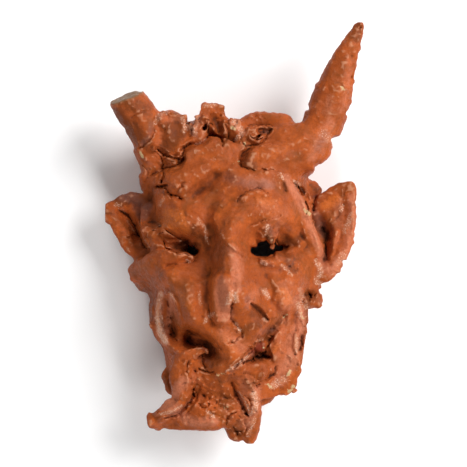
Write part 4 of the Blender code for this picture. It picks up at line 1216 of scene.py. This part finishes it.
def layer_share(name, most, low=0.25, high=0.8, breaker=ragged, spread=1.1):
    """Share of a painted layer, its outline broken up by noise."""
    wobble = fired.sums("MULTIPLY", fired.sums("SUBTRACT", breaker, 0.5), spread)
    broken_up = fired.span(fired.sums("ADD", fired.attribute(name), wobble), low, high)
    inside = fired.sums("MULTIPLY", broken_up, most)
    return fired.sums("MULTIPLY", inside, fired.span(fired.attribute(name), 0.0, 0.12))


colour = fired.mix(layer_share("brown", 0.75), colour, BROWN)
colour = fired.mix(layer_share("glow", 0.80), colour, GLOW)
colour = fired.mix(layer_share("blush", 0.72, 0.20, 1.0), colour, PINK)
colour = fired.mix(layer_share("dust", 0.60, 0.25, 1.0), colour, MAUVE)
colour = fired.mix(layer_share("red", 0.80), colour, OXBLOOD)
colour = fired.tint(colour, speckle, 0.35, RUST)
colour = fired.tint(colour, fired.span(fired.attribute("edge"), 0.40, 1.0), 0.50, PALE)
colour = fired.mix(layer_share("stain", 0.65), colour, SOOT)
colour = fired.tint(colour, fired.span(fired.attribute("hollow"), 0.15, 1.0), 0.65, SOOT)
colour = fired.tint(colour, fired.span(fired.attribute("crack"), 0.22, 1.0), 0.72, SOOT)
colour = fired.mix(layer_share("fleck", 0.55, 0.25, 1.0), colour, PALE)
colour = fired.mix(layer_share("fleck", 0.75, 0.68, 1.15, glints, 1.8), colour, WHITE)
colour = fired.mix(layer_share("chip", 0.85, 0.55, 0.90, ragged, 3.2), colour, CREAM)
colour = fired.tint(colour, fired.attribute("broken"), 0.85, BUFF)

shader = fired.nodes.new("ShaderNodeBsdfPrincipled")
fired.links.new(colour, shader.inputs["Base Color"])
gloss = fired.span(fired.noise(0.004, 4, 0.7), 0.35, 0.65, 0.25, 0.55)
dull = fired.sums("ADD", gloss, fired.sums("MULTIPLY", fired.attribute("hollow"), 0.25))
dull = fired.sums("ADD", dull, fired.sums("MULTIPLY", fired.attribute("chip"), 0.2))
fired.links.new(dull, shader.inputs["Roughness"])
shader.inputs["Specular IOR Level"].default_value = 0.10
bump = fired.nodes.new("ShaderNodeBump")
bump.inputs["Strength"].default_value = 0.9
bump.inputs["Distance"].default_value = 0.0008
fired.links.new(fired.noise(0.0022, 4, 0.7), bump.inputs["Height"])
fired.links.new(bump.outputs["Normal"], shader.inputs["Normal"])
output = fired.nodes.new("ShaderNodeOutputMaterial")
fired.links.new(shader.outputs["BSDF"], output.inputs["Surface"])
clay.data.materials.clear()
clay.data.materials.append(fired.material)
print("fired clay has", len(fired.nodes), "nodes")

# %% [markdown]
# ## Place of the mask in the model
#
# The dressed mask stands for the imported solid, moves with its body and takes its finish from the
# record's slot for fired clay. Nothing on it moves by itself, so it rides on the root.

# %% Tie the mask to the frame
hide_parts("devil_mask")
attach(clay, "root")
print("mask tied to the frame")

# %% [markdown]
# ## Floor, light and camera
#
# The mask lies on its back on a pale floor and the camera looks straight down on it through a long
# lens, which keeps the layout undistorted. One large soft light stands up to the right, so the folds
# throw soft shadows to the lower left, and it alone makes highlights in the wax. Three weaker ones, from
# the left, from below the chin and from beyond the horns, open the shadows. More light all round would
# do that too, but it would flatten the relief.

# %% Floor
bpy.ops.mesh.primitive_plane_add(size=8, location=(0, 0, 0))
floor = bpy.context.object
floor.name = "floor"
floor_paint = Shader("pale_floor")
floor_shader = floor_paint.nodes.new("ShaderNodeBsdfPrincipled")
floor_shader.inputs["Base Color"].default_value = (0.94, 0.94, 0.94, 1)
floor_shader.inputs["Roughness"].default_value = 0.9
floor_output = floor_paint.nodes.new("ShaderNodeOutputMaterial")
floor_paint.links.new(floor_shader.outputs["BSDF"], floor_output.inputs["Surface"])
floor.data.materials.append(floor_paint.material)
print("floor laid")

# %% Lights
def area_light(name, place, size, watts, shines=False):
    """A square light turned to look at the mask. Only one that shines makes highlights."""
    bpy.ops.object.light_add(type="AREA", location=place)
    lamp = bpy.context.object
    lamp.name = name
    lamp.data.shape = "SQUARE"
    lamp.data.size = size
    lamp.data.energy = watts
    lamp.visible_glossy = shines
    aim = Vector((0, 0, 0.05)) - Vector(place)
    lamp.rotation_euler = aim.to_track_quat("-Z", "Y").to_euler()
    return lamp


area_light("key", (1.25, 0.75, 1.4), 1.1, 48, shines=True)
area_light("left", (-1.5, 0.3, 1.3), 1.2, 9)
area_light("low", (0.5, -1.6, 1.5), 1.0, 24)
area_light("far", (-0.2, 1.7, 1.5), 1.0, 6)
world = bpy.data.worlds.new("studio")
world.use_nodes = True
world.node_tree.nodes["Background"].inputs["Color"].default_value = (1, 1, 1, 1)
world.node_tree.nodes["Background"].inputs["Strength"].default_value = 0.15
scene.world = world
scene.view_settings.view_transform = "Standard"
print("four lights set")

# %% Camera
PICTURE = 467
LENS = 200
SENSOR = 36
EYE_LEVEL = 0.052
distance = LENS / SENSOR * PICTURE * SQUARE
bpy.ops.object.camera_add(location=(0, 0, EYE_LEVEL + distance), rotation=(0, 0, 0))
camera = bpy.context.object
camera.data.lens = LENS
camera.data.sensor_width = SENSOR
camera.data.clip_end = 20
scene.camera = camera
print("camera", round(distance, 2), "m above the face")
